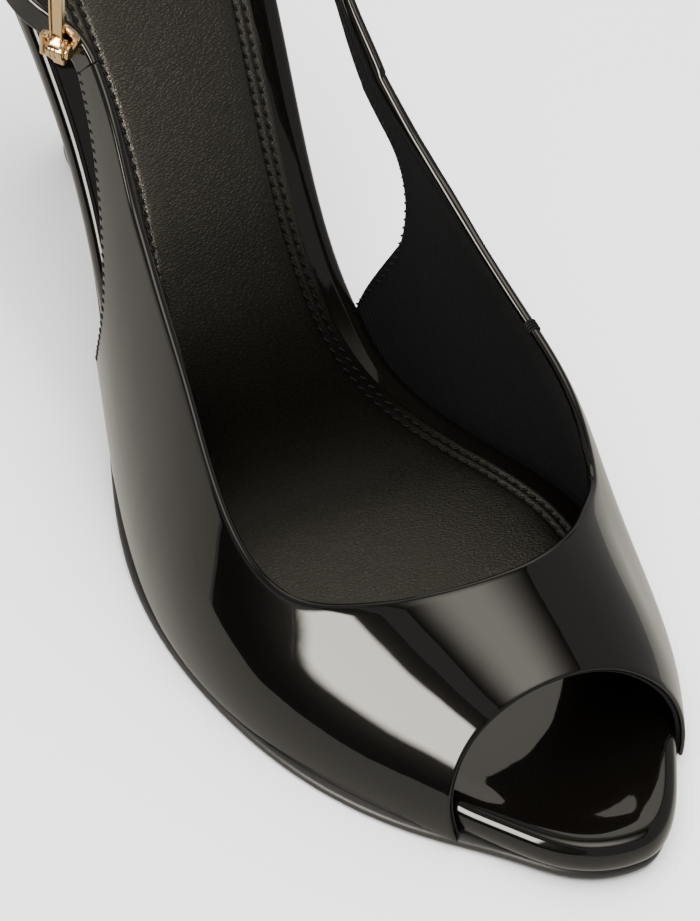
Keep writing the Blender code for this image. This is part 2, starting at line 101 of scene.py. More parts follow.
# Rows of stitches: the two round the sock by their insets, the slanted ones over the edges of the wings
# and along the start of the strap, and the loops of the tack
SOCK_ROWS = (8.0, 9.7)
SOCK_ROW_DEPTH = 0.62
SOCK_PITCH = 2.15
SOCK_STITCH = 1.75
SOCK_SLANT = 24.0
STITCH_LIFT = 0.12
EDGE_PITCH = 1.65
EDGE_STITCH = 1.25
EDGE_INSET = 0.95
EDGE_SLANT = 50.0
EDGE_DEPTH = 0.04
STITCHED_STRAP = 70.0
TACK_ALONG = 87.0
TACK_LOOPS = 4
TACK_PITCH = 0.5
TACK_TURNS = (-0.35, 1.15)
TACK_POINTS = 14

# Buckle, laid on the strap just behind the outer wing
BUCKLE_FROM_WING = 3.8
BUCKLE_LENGTH = 4.6
BUCKLE_WIDTH = 8.6
BUCKLE_CORNER = 1.2
BUCKLE_WIRE = 1.2
TONGUE_LENGTH = 14.0
TONGUE_WIDTH = 2.8
TONGUE_THICKNESS = 1.0
TONGUE_FOOT_DROP = 0.2
BARREL_RADIUS = 1.95
BARREL_LENGTH = 3.4
BARREL_GROOVES = (-0.3, 0.5)
BARREL_POINTS = 40
WIRE_POINTS = 20
WIRE_FULLNESS = 0.6
CORNER_STEPS = 8

# Groove of the buckle's bar: the width of the lip beside it, its soft side and its depth
BAR_LIP = 0.42
GROOVE_SIDE = 0.12
GROOVE_DEPTH = 0.32

# Rows of the bar and of the wedge at its foot: place over the hinge and scales of width and thickness
BAR_ROWS = (
    (0.6, 0.8, 0.9),
    (2.4, 0.86, 1),
    (6, 0.94, 1),
    (TONGUE_LENGTH - 1, 1, 1),
    (TONGUE_LENGTH - 0.3, 0.9, 0.8),
    (TONGUE_LENGTH, 0.7, 0.4),
)
WEDGE_ROWS = ((-0.6, 0.9, 0.8), (-0.3, 1, 1), (1.2, 1, 1), (2.5, 0.98, 0.55), (2.8, 0.9, 0.4))
WEDGE_SECTION = ((-1.15, -0.6), (1.15, -0.6), (1.2, 1.2), (1.05, 1.35), (-1.05, 1.35), (-1.2, 1.2))

# How finely the curved pieces are divided
OUTLINE_STEPS = 150
RIB_STEPS = 8
STRAP_STEPS = 14
WALL_ROWS = 34
ARC_STEPS = 7
COLUMN_STEPS = 33
INSOLE_RIM_STEPS = 22
SPINE_ROOM = 14.0

# Shares of the way from a layer's last ring to its middle line, each with a rise of its own
FLAT_MIDDLE = ((0.5, 0), (1, 0))

# Edge of the foot bed, seen from above
Outline = namedtuple("Outline", "along lateral medial")
OUTLINE = (
    Outline(0, 5.6, 5.6),
    Outline(5, -7.2, 14.3),
    Outline(14, -14.1, 20.7),
    Outline(30, -24.4, 29.8),
    Outline(50, -34.4, 36.5),
    Outline(72, -39.0, 37.6),
    Outline(95, -37.0, 29.2),
    Outline(120, -30.0, 20.6),
    Outline(150, -23.4, 21.4),
    Outline(180, -24.4, 25.4),
    Outline(205, -19.6, 20.2),
    Outline(SHOE_LENGTH, 0, 0),
)

# Steepness of the foot bed
Pitch = namedtuple("Pitch", "along slope")
PITCH = (
    Pitch(0, -0.07),
    Pitch(22, -0.03),
    Pitch(42, 0),
    Pitch(84, 0),
    Pitch(100, 0.19),
    Pitch(112, 0.50),
    Pitch(124, 0.82),
    Pitch(138, 1.05),
    Pitch(152, 1.14),
    Pitch(166, 1.04),
    Pitch(180, 0.72),
    Pitch(195, 0.46),
    Pitch(SHOE_LENGTH, 0.28),
)

# Cross sections of the upper
Section = namedtuple("Section", "along crest power lateral_wall medial_wall")
SECTIONS = (
    Section(0, 14, 2.2, 0, 0),
    Section(15, 22, 2.2, -0.4, 0),
    Section(30, 29, 2.15, -1.0, -2.0),
    Section(50, 37.4, 2.15, -1.4, -4.0),
    Section(75, 48, 2.25, -2.0, 4.2),
    Section(100, 62, 2.2, -3.3, 13.2),
    Section(130, 91, 2.3, -4.0, 11.8),
    Section(165, 120, 2.3, -3.0, 12.0),
)

# Ribs of the upper, from its lower edge to its topline, round from the outer wing to the inner wing
Rib = namedtuple("Rib", "low_along low_turn top_along top_turn")
OUTER_WING = (
    Rib(146.5, 14.1, 142.5, 20.0),
    Rib(138.7, 14.4, 135.8, 23.0),
    Rib(132.4, 13.0, 129.4, 25.4),
    Rib(127.8, 10.6, 123.6, 27.6),
    Rib(126.2, 7.6, 119.4, 29.8),
    Rib(126.5, 3.8, 115.8, 31.8),
    Rib(128.0, 0, 112.0, 33.8),
)
OUTER_SIDE = (
    OUTER_WING[-1],
    Rib(112, 0, 103.0, 37.9),
    Rib(95, 0, 92.5, 39.6),
    Rib(78, 0, 80.5, 37.8),
    Rib(60, 0, 68.0, 35.8),
    Rib(44, 0, 58.2, 38.6),
    Rib(30, 0, 51.4, 47.2),
    Rib(18.6, 0, 46.7, 58.0),
)
PEEP = (
    OUTER_SIDE[-1],
    Rib(20.5, 11.5, 44.8, 64.4),
    Rib(22.2, 27, 43.3, 71.2),
    Rib(23.4, 46, 42.2, 78.6),
    Rib(23.7, 68, 41.6, 86.4),
    Rib(23.1, 89.5, 41.6, 94.6),
    Rib(21.6, 109, 42.4, 102.6),
    Rib(20.0, 124, 43.7, 109.8),
    Rib(18.6, 141, 45.4, 116.4),
    Rib(17.4, 160, 47.5, 122.4),
    Rib(16.4, 180, 50.2, 128.2),
)
INNER_SIDE = (
    PEEP[-1],
    Rib(27, 180, 53.8, 135.4),
    Rib(40, 180, 58.6, 141.6),
    Rib(54, 180, 65.6, 143.5),
    Rib(68, 180, 74.0, 143.4),
    Rib(82, 180, 83.2, 141.9),
    Rib(96, 180, 92.8, 140.9),
    Rib(110, 180, 102.2, 142.1),
    Rib(122.6, 180, 110.4, 145.1),
)
INNER_WING = (
    INNER_SIDE[-1],
    Rib(119.6, 174, 113.8, 146.8),
    Rib(117.8, 168, 117.0, 148.4),
    Rib(118.8, 161.8, 120.0, 150.0),
    Rib(122.6, 158.6, 123.2, 151.6),
    Rib(127.8, 159.6, 126.4, 153.2),
    Rib(133.0, 161.4, 129.6, 154.8),
)
UPPER_RIBS = (OUTER_WING, OUTER_SIDE, PEEP, INNER_SIDE, INNER_WING)

# Edge of the outsole against the edge of the foot bed
SoleEdge = namedtuple("SoleEdge", "along inset")
SOLE_EDGE = (
    SoleEdge(0, 0.7),
    SoleEdge(12, 0.4),
    SoleEdge(24, -1.9),
    SoleEdge(60, -2.1),
    SoleEdge(108, -2.0),
    SoleEdge(132, 0.6),
    SoleEdge(160, 1.0),
    SoleEdge(SHOE_LENGTH, 0.8),
)

# Rims of the layers of the bottom, from the underside up
RimRow = namedtuple("RimRow", "inset rise")
INSOLE_RIM = (
    RimRow(0.9, 0),
    RimRow(0.2, 0.18 * INSOLE_THICKNESS),
    RimRow(0, 0.48 * INSOLE_THICKNESS),
    RimRow(0.4, 0.78 * INSOLE_THICKNESS),
    RimRow(1.3, 0.95 * INSOLE_THICKNESS),
    RimRow(2.5, INSOLE_THICKNESS),
)
INSOLE_DISH_INSET = 7.0
SOCK_BASE = INSOLE_THICKNESS + GAP
SOCK_CORNER = 16.0
SOCK_CORNER_FULLNESS = 2.6
OUTSOLE_BASE = -GAP - OUTSOLE_THICKNESS
OUTSOLE_RIM = (
    RimRow(1.1, OUTSOLE_BASE),
    RimRow(0.6, OUTSOLE_BASE + 0.08),
    RimRow(0.2, OUTSOLE_BASE + 0.35),
    RimRow(0, OUTSOLE_BASE + 0.8),
    RimRow(0.05, OUTSOLE_BASE + 1.3),
    RimRow(0.2, OUTSOLE_BASE + 1.8),
    RimRow(0.6, -GAP + 0.1),
)

# Heel, from the seat down to the top piece
HeelRow = namedtuple("HeelRow", "share across half_width front back fullness hollow")
HEEL_ROWS = (
    HeelRow(0, 0.4, 22.8, 176.0, 216.2, 2.7, 5.0),
    HeelRow(0.07, 0.5, 21.4, 178.5, 216.0, 2.6, 4.6),
    HeelRow(0.18, 0.9, 17.4, 183.6, 214.8, 2.5, 3.6),
    HeelRow(0.34, 1.7, 12.2, 188.6, 212.6, 2.35, 2.2),
    HeelRow(0.55, 2.7, 8.2, 191.8, 209.6, 2.2, 1.0),
    HeelRow(0.78, 3.6, 6.0, 193.6, 206.8, 2.2, 0.4),
    HeelRow(1, 4.0, 5.2, 194.6, 205.4, 2.2, 0.2),
)
HEEL_POINTS = 96
HEEL_LEVELS = 60
SEAT_RING_SCALES = (0.02, 0.35, 0.7, 0.92)

# Top piece of the heel, from its top down: height over the floor and scale of the section
TOP_PIECE_ROWS = (
    (TOP_PIECE_HEIGHT, 0.985),
    (TOP_PIECE_HEIGHT - 0.15, 1),
    (0.6, 1),
    (0.25, 0.985),
    (0, 0.93),
)

# Middle line of the sling strap between the two wings, and how far from their tips it starts and ends
STRAP_END_GAPS = (0.6, 0.2)
StrapRow = namedtuple("StrapRow", "across along up")
STRAP_ROWS = (
    StrapRow(26.4, 140.0, 69.2),
    StrapRow(26.8, 153.0, 80.4),
    StrapRow(26.5, 168.0, 94.0),
    StrapRow(24.6, 185.0, 109.4),
    StrapRow(19.0, 201.0, 123.6),
    StrapRow(10.6, 212.0, 132.8),
    StrapRow(0.4, 216.4, 136.4),
    StrapRow(-10.2, 212.0, 132.4),
    StrapRow(-19.6, 201.0, 122.0),
    StrapRow(-26.6, 185.0, 105.4),
    StrapRow(-29.6, 168.0, 87.8),
    StrapRow(-28.7, 158.2, 79.4),
    StrapRow(-26.7, 154.3, 77.4),
    StrapRow(-24.7, 150.5, 76.2),
    StrapRow(-22.9, 147.5, 74.2),
)

# Side of the square floor, in metres
FLOOR_SIZE = 6.0

# Camera, as it stands to the shoe in the photograph. Azimuth runs from +Y towards +X
CAMERA_TARGET = (23.0, 123.4, -26.6)
CAMERA_AZIMUTH = math.radians(33.3)
CAMERA_ELEVATION = math.radians(46.6)
CAMERA_DISTANCE = 586.5
CAMERA_ROLL = math.radians(4.8)
FOCAL_PIXELS = 3013.9
PHOTO_WIDTH = 700
SENSOR_WIDTH = 36.0

# Painted reflection on the sock: its gloss at even steps from its front edge to behind the waist, set high
# or low to stand for bright or dark reflections of the studio, and the span of these in metres
SOCK_PAINTED_SHEEN_SPAN = (-0.06, 0.06)
SOCK_PAINTED_SHEEN = (0.75, 0.85, 0.25, 0.0, 0.3, 0.7, 0.7)


def size_setting(name, description, default):
    return bpy.props.FloatProperty(name=name, description=description, default=default, unit="LENGTH")


def colour_setting(name, description, default):
    words = {"name": name, "description": description, "subtype": "COLOR"}
    return bpy.props.FloatVectorProperty(default=default, **words)


class ShoeSizes(bpy.types.PropertyGroup):
    """Sizes of the finish that a maker would change."""

    fold_radius: size_setting("Fold radius", "Radius of the folded topline", 0.85 * MM)
    patent_thickness: size_setting("Patent thickness", "Thickness of the patent skin", 0.95 * MM)
    lining_drop: size_setting("Lining drop", "How far the lining ends below the topline", 2.3 * MM)
    sock_crown: size_setting("Sock crown", "How far the padding stands up", 0.55 * MM)
    thread: size_setting("Thread", "Thickness of the sewing thread", 0.5 * MM)


class ShoeColours(bpy.types.PropertyGroup):
    """Colours of the materials."""

    patent: colour_setting("Patent", "Colour of the patent", (0.0018, 0.0014, 0.001))
    sock: colour_setting("Sock", "Colour of the sock leather", (0.0024, 0.0021, 0.0015))
    lining: colour_setting("Lining", "Colour of the lining cloth", (0.002, 0.002, 0.0024))
    thread: colour_setting("Thread", "Colour of the thread", (0.0025, 0.0025, 0.0025))
    sole: colour_setting("Sole", "Colour of the outsole", (0.012, 0.011, 0.011))
    gold: colour_setting("Gold", "Colour of the buckle", (0.80, 0.57, 0.30))
    floor: colour_setting("Floor", "Colour of the floor", (0.84, 0.84, 0.84))


def sizes():
    return bpy.context.scene.shoe_sizes


def colours():
    return bpy.context.scene.shoe_colours


def spline(places, values):
    """Natural cubic spline through a table's column, as a function of place."""
    places = np.asarray(places, float)
    values = np.asarray(values, float)
    count = len(places)
    step = np.diff(places)
    rise = np.diff(values) / step
    matrix = np.eye(count)
    bend = np.zeros(count)
    for row in range(1, count - 1):
        matrix[row, row - 1] = step[row - 1]
        matrix[row, row] = 2 * (step[row - 1] + step[row])
        matrix[row, row + 1] = step[row]
        bend[row] = 6 * (rise[row] - rise[row - 1])
    bend = np.linalg.solve(matrix, bend)

    def value(place):
        place = np.clip(place, places[0], places[-1])
        row = np.clip(np.searchsorted(places, place, side="right") - 1, 0, count - 2)
        left = place - places[row]
        right = places[row + 1] - place
        cubic = (bend[row] * right**3 + bend[row + 1] * left**3) / (6 * step[row])
        start = values[row] / step[row] - bend[row] * step[row] / 6
        end = values[row + 1] / step[row] - bend[row + 1] * step[row] / 6
        return cubic + start * right + end * left

    return value


def column(table, name):
    return [getattr(row, name) for row in table]


def end_angle(along):
    """Half turn from toe to heel, in which the round ends of the outline become plain curves."""
    return np.arccos(np.clip(1 - 2 * np.asarray(along, float) / SHOE_LENGTH, -1, 1))


def height_of_bed():
    """Height of the underside of the insole along the shoe, added up from its steepness."""
    fine = np.linspace(0, SHOE_LENGTH, 1091)
    steep = np.interp(fine, column(PITCH, "along"), column(PITCH, "slope"))
    added = np.concatenate([[0], np.cumsum((steep[1:] + steep[:-1]) / 2 * np.diff(fine))])
    ball = np.interp(60.0, fine, added)
    return fine, added - ball + FOREPART_HEIGHT, steep


BED_ALONG, BED_HEIGHT, BED_SLOPE = height_of_bed()
LATERAL_EDGE = spline(end_angle(column(OUTLINE, "along")), column(OUTLINE, "lateral"))
MEDIAL_EDGE = spline(end_angle(column(OUTLINE, "along")), column(OUTLINE, "medial"))
CREST = spline(column(SECTIONS, "along"), column(SECTIONS, "crest"))
POWER = spline(column(SECTIONS, "along"), column(SECTIONS, "power"))
LATERAL_WALL = spline(column(SECTIONS, "along"), column(SECTIONS, "lateral_wall"))
MEDIAL_WALL = spline(column(SECTIONS, "along"), column(SECTIONS, "medial_wall"))
SOLE_INSET = spline(column(SOLE_EDGE, "along"), column(SOLE_EDGE, "inset"))


def bed_height(along):
    return np.interp(along, BED_ALONG, BED_HEIGHT)


def bed_tilt(along):
    return np.arctan(np.interp(along, BED_ALONG, BED_SLOPE))


def upper_point(along, turn):
    """Outer face of the upper. `turn` goes from 0 at the outer edge of the sole over the foot to 180."""
    along = np.asarray(along, float)
    angle = np.radians(np.asarray(turn, float))
    inner = LATERAL_EDGE(end_angle(along)) - GAP - WALL
    outer = MEDIAL_EDGE(end_angle(along)) + GAP + WALL
    middle = (inner + outer) / 2
    half = (outer - inner) / 2
    sine = np.abs(np.sin(angle))
    cosine = np.cos(angle)
    wall = np.where(cosine > 0, LATERAL_WALL(along), MEDIAL_WALL(along))
    exponent = 2 / POWER(along)
    across = middle - (half + wall * soft_step(sine, 0, WALL_LEANS_BY)) * fuller(cosine, exponent)
    height = bed_height(along) + CREST(along) * sine**exponent
    return np.stack([across, along + 0 * across, height], -1)


def wall_normal(along, turn):
    """Outward direction of the upper's face."""
    turn = np.clip(turn, SMALL_STEP, 180 - SMALL_STEP)
    down_the_foot = upper_point(along + SMALL_STEP, turn) - upper_point(along - SMALL_STEP, turn)
    round_the_foot = upper_point(along, turn + SMALL_STEP) - upper_point(along, turn - SMALL_STEP)
    return unit(np.cross(round_the_foot, down_the_foot))


def unit(vectors):
    return vectors / np.linalg.norm(vectors, axis=-1, keepdims=True)


def fuller(value, power):
    """A sine or cosine raised to a power with its sign kept, which squares off a circle."""
    return np.sign(value) * np.abs(value) ** power


def soft_step(place, start, end):
    share = np.clip((np.asarray(place, float) - start) / (end - start), 0, 1)
    return share * share * (3 - 2 * share)


def on_bed(across, along, rise):
    """Point at a true distance above (or below) the underside of the insole."""
    tilt = bed_tilt(along)
    return np.stack([across, along - rise * np.sin(tilt), bed_height(along) + rise * np.cos(tilt)], -1)


def bed_loop(inset, start=0.0, corner=0.0):
    """Closed outline seen from above, `inset` inside the edge of the foot bed, from `start` to the heel."""
    swing = np.linspace(0, math.pi, OUTLINE_STEPS + 1)
    along = start + (SHOE_LENGTH - start) / 2 * (1 - np.cos(swing))
    low = LATERAL_EDGE(end_angle(along))
    high = MEDIAL_EDGE(end_angle(along))
    if corner:
        middle = (low + high) / 2
        share = np.clip((along - start) / corner, 0, 1)
        closing = (1 - (1 - share) ** SOCK_CORNER_FULLNESS) ** (1 / SOCK_CORNER_FULLNESS)
        low = middle + (low - middle) * closing
        high = middle + (high - middle) * closing
    across = np.concatenate([low, high[-2:0:-1]])
    along = np.concatenate([along, along[-2:0:-1]])
    rim = np.stack([across, along], -1)
    ahead = unit(np.roll(rim, -1, 0) - np.roll(rim, 1, 0))
    inset = inset(along) if callable(inset) else inset
    return across + ahead[:, 1] * inset, along - ahead[:, 0] * inset, along


def layer(profile, low_shares, high_shares, **loop):
    """Rings of a thin layer, from its underside's middle, round its edge, to its top's middle.

    Each row of the profile is an inset and a rise. Each share is a part of the way from the first or last
    ring to the middle line, which is kept off both ends, with an extra rise of its own.
    """
    rings = []
    for inset, rise in profile:
        across, along, shared = bed_loop(inset, **loop)
        height = rise(shared) if callable(rise) else np.full_like(along, rise)
        rings.append((across, along, height))
    along_spine = np.clip(shared, shared.min() + SPINE_ROOM, shared.max() - SPINE_ROOM)
    angle = end_angle(along_spine)
    middle = (LATERAL_EDGE(angle) + MEDIAL_EDGE(angle)) / 2

    def inner(ring, share, extra):
        across, along, height = ring
        return (across + (middle - across) * share, along + (along_spine - along) * share, height + extra)

    bottom = [inner(rings[0], share, extra) for share, extra in low_shares]
    top = [inner(rings[-1], share, extra) for share, extra in high_shares]
    return np.array([on_bed(*ring) for ring in bottom[::-1] + rings + top])


def to_frame(points):
    """Millimetres of the shoe's own places to metres of the frame."""
    points = np.asarray(points, float)
    shift = np.array([MIDDLE_ACROSS, MIDDLE_ALONG, 0.0])
    return (points - shift) * MM


def link(made):
    bpy.context.scene.collection.objects.link(made)
    return made


def skin(name, rings, made_of, turn=False, caps=False, uv=None, sharp=50):
    """Object skinned over closed rings of points, given in millimetres.

    `turn` joins the last ring to the first and `caps` fills the two ends. `uv` gives every point a place on
    the surface, in millimetres, and edges sharper than `sharp` degrees stay sharp.
    """
    rings = np.asarray(rings, float)
    count, size = rings.shape[:2]
    faces = []
    for low in range(count if turn else count - 1):
        high = (low + 1) % count
        for here in range(size):
            there = (here + 1) % size
            faces.append((low * size + here, low * size + there, high * size + there, high * size + here))
    if caps:
        faces.append(tuple(range(size)))
        faces.append(tuple((count - 1) * size + place for place in range(size)))
    data = bpy.data.meshes.new(name)
    data.from_pydata(to_frame(rings.reshape(-1, 3)).tolist(), [], faces)
    data.materials.append(made_of)
    if uv is not None:
        flat = np.asarray(uv, float).reshape(-1, 2) * MM
        index = np.empty(len(data.loops), int)
        data.loops.foreach_get("vertex_index", index)
        data.uv_layers.new(name="Surface").data.foreach_set("uv", flat[index].reshape(-1))
    mesh = bmesh.new()
    mesh.from_mesh(data)
    bmesh.ops.remove_doubles(mesh, verts=mesh.verts, dist=0.002 * MM)
    bmesh.ops.dissolve_degenerate(mesh, edges=mesh.edges, dist=0.0005 * MM)
    bmesh.ops.recalc_face_normals(mesh, faces=mesh.faces)
    mesh.to_mesh(data)
    mesh.free()
    data.shade_smooth()
    data.set_sharp_from_angle(angle=math.radians(sharp))
    return link(bpy.data.objects.new(name, data))


def finish(piece, slot, *replaced):
    """Attaches a piece to the body it rides on and hides the solids it stands for. The slot is not used."""
    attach(piece, BODY)
    if replaced:
        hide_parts(*replaced)
    return piece


def node(tree, kind, inputs=None, **settings):
    """Adds a node, with its inputs given as values or as sockets to link from."""
    made = tree.nodes.new(kind)
    for name, value in settings.items():
        setattr(made, name, value)
    for name, value in (inputs or {}).items():
        if isinstance(value, bpy.types.NodeSocket):
            tree.links.new(value, made.inputs[name])
        else:
            made.inputs[name].default_value = value
    return made


def new_look(name, colour, roughness, **sockets):
    """Material with one Principled shader, ready for its bump and colour nodes."""
    made = bpy.data.materials.new(name)
    made.use_nodes = True
    tree = made.node_tree
    shader = tree.nodes["Principled BSDF"]
    shader.inputs["Base Color"].default_value = (*colour, 1)
    shader.inputs["Roughness"].default_value = roughness
    for socket, value in sockets.items():
        shader.inputs[socket.replace("_", " ").title().replace("Ior", "IOR")].default_value = value
    made.diffuse_color = (*colour, 1)
    return made, tree, shader


def object_place(tree, scale=(1, 1, 1)):
    """Object coordinates, stretched by `scale` along the three axes of the frame."""
    place = node(tree, "ShaderNodeTexCoord")
    stretched = node(tree, "ShaderNodeMapping", {"Vector": place.outputs["Object"], "Scale": scale})
    return stretched.outputs["Vector"]


def noise(tree, scale, detail, stretch=(1, 1, 1)):
    inputs = {"Vector": object_place(tree, stretch), "Scale": scale, "Detail": detail}
    return node(tree, "ShaderNodeTexNoise", inputs).outputs["Fac"]


def waves(tree, place, **inputs):
    """Slanted bands in a place's own units."""
    inputs = {"Vector": place, **{name.title(): value for name, value in inputs.items()}}
    return node(tree, "ShaderNodeTexWave", inputs, bands_direction="DIAGONAL").outputs["Fac"]


def spread(tree, value, span, onto=(0, 1)):
    """A value moved from one span, of its low and high end, onto another."""
    names = ("From Min", "From Max", "To Min", "To Max")
    inputs = {"Value": value, **dict(zip(names, (*span, *onto)))}
    return node(tree, "ShaderNodeMapRange", inputs).outputs["Result"]


def times(tree, first, second):
    return node(tree, "ShaderNodeMath", {0: first, 1: second}, operation="MULTIPLY").outputs["Value"]


def bump(tree, height, distance, strength=1.0, below=None):
    inputs = {"Height": height, "Distance": distance, "Strength": strength}
    if below is not None:
        inputs["Normal"] = below
    return node(tree, "ShaderNodeBump", inputs).outputs["Normal"]


def drive(tree, shader, socket, source):
    tree.links.new(source, shader.inputs[socket])


def shade(tree, shader, tone, tint):
    """Drives the base colour with a colour made lighter and darker by a tone."""
    shaded = node(tree, "ShaderNodeVectorMath", {0: tuple(tint), "Scale": tone}, operation="SCALE")
    drive(tree, shader, "Base Color", shaded.outputs["Vector"])


# Ends of the middle part of a noise, where most of it lies
NOISE_SPAN = (0.3, 0.7)


def patent_look():
    """Black patent: a mirror-like lacquer with a faint long wave and the pores of the leather under it."""
    made, tree, shader = new_look(
        "Black patent", colours().patent, 0.3, specular_ior_level=0.04, coat_weight=1.0, coat_roughness=0.03
    )
    wave = bump(tree, noise(tree, 75.0, 1.0), 0.16 * MM, 0.8)
    pores = bump(tree, noise(tree, 900.0, 2.0), 0.004 * MM, 0.5, wave)
    drive(tree, shader, "Normal", pores)
    drive(tree, shader, "Coat Normal", pores)
    return made


def sock_look():
    """Matte sock leather, with a grain drawn out across the foot. Its gloss is a painted reflection: high
    at the front and behind the waist and nearly nil in the middle, standing for where the studio's light is
    reflected bright or dark.
    """
    made, tree, shader = new_look(
        "Sock leather", colours().sock, 0.45, specular_tint=(1.0, 0.96, 0.87, 1)
    )
    inputs = {"Vector": object_place(tree, (900, 1900, 1900)), "Scale": 1.0, "Randomness": 1.0}
    cells = node(tree, "ShaderNodeTexVoronoi", inputs, feature="DISTANCE_TO_EDGE").outputs["Distance"]
    edges = spread(tree, cells, (0, 0.22))
    wrinkles = noise(tree, 1.0, 4.0, (500, 1500, 1500))
    clouds = noise(tree, 38.0, 3.0)
    grain = bump(tree, edges, 0.055 * MM, 0.85)
    drive(tree, shader, "Normal", bump(tree, wrinkles, 0.055 * MM, 0.85, grain))
    tone = times(tree, spread(tree, clouds, NOISE_SPAN, (0.82, 1.2)), spread(tree, edges, (0, 1), (0.7, 1)))
    shade(tree, shader, tone, colours().sock)
    drive(tree, shader, "Roughness", spread(tree, clouds, NOISE_SPAN, (0.4, 0.5)))
    # Painted reflection: the gloss level along the sock stands for where the studio's light is reflected
    # bright or dark, not for a change in the leather
    along = node(tree, "ShaderNodeSeparateXYZ", {"Vector": object_place(tree)}).outputs["Y"]
    painted_sheen = node(tree, "ShaderNodeFloatCurve", {"Value": spread(tree, along, SOCK_PAINTED_SHEEN_SPAN)})
    curve = painted_sheen.mapping.curves[0]
    curve.points[0].location = (0, SOCK_PAINTED_SHEEN[0])
    curve.points[1].location = (1, SOCK_PAINTED_SHEEN[-1])
    for place, level in enumerate(SOCK_PAINTED_SHEEN[1:-1], 1):
        curve.points.new(place / (len(SOCK_PAINTED_SHEEN) - 1), level)
    painted_sheen.mapping.update()
    drive(tree, shader, "Specular IOR Level", painted_sheen.outputs["Value"])
    return made


def lining_look():
    """Fine ribbed lining cloth, slightly blue."""
    made, tree, shader = new_look(
        "Ribbed lining", colours().lining, 0.85, specular_ior_level=0.12, sheen_weight=0.03
    )
    surface = node(tree, "ShaderNodeUVMap", uv_map="Surface").outputs["UV"]
    ribs = waves(tree, surface, scale=620.0, distortion=1.2, detail=2.0)
    fuzz = noise(tree, 1400.0, 4.0)
    cloth = bump(tree, ribs, 0.07 * MM, 0.8)
    drive(tree, shader, "Normal", bump(tree, fuzz, 0.05 * MM, 0.8, cloth))
    shade(tree, shader, spread(tree, fuzz, NOISE_SPAN, (0.7, 1.35)), colours().lining)
    return made


def thread_look():
    """Twisted black thread."""
    made, tree, shader = new_look("Black thread", colours().thread, 0.6, specular_ior_level=0.25)
    drive(tree, shader, "Normal", bump(tree, noise(tree, 3500.0, 1.0), 0.05 * MM))
    return made


def sole_look():
    """Thin dark sole with a satin edge and a fine moulded tread on what faces down."""
    made, tree, shader = new_look("Sole rubber", colours().sole, 0.42)
    tread = waves(tree, object_place(tree), scale=190.0, distortion=0.0)
    facing = node(tree, "ShaderNodeSeparateXYZ", {0: node(tree, "ShaderNodeNewGeometry").outputs["Normal"]})
    under = spread(tree, facing.outputs["Z"], (-1, -0.95), (1, 0))
    ribs = bump(tree, times(tree, tread, under), 0.25 * MM, 0.6)
    drive(tree, shader, "Normal", bump(tree, noise(tree, 700.0, 4.0), 0.03 * MM, 0.6, ribs))
    return made


def gold_look():
    """Polished pale gold, with faint casting marks in its roughness."""
    made, tree, shader = new_look("Pale gold", colours().gold, 0.14, metallic=1.0)
    marks = noise(tree, 600.0, 4.0)
    drive(tree, shader, "Roughness", spread(tree, marks, NOISE_SPAN, (0.1, 0.2)))
    drive(tree, shader, "Normal", bump(tree, marks, 0.015 * MM, 0.5))
    return made


LOOK_MAKERS = {
    "patent": patent_look,
    "sock": sock_look,
    "lining": lining_look,
    "thread": thread_look,
    "sole": sole_look,
    "gold": gold_look,
}


@cache
def look(name):
    """Material of that name, made once."""
    return LOOK_MAKERS[name]()


def between_rows(rows, name, steps=None):
    """A table's column on a smooth curve, RIB_STEPS steps from row to row or `steps` values in all."""
    counter = np.arange(len(rows))
    fine = np.linspace(0, counter[-1], steps or counter[-1] * RIB_STEPS + 1)
    return spline(counter, column(rows, name))(fine)


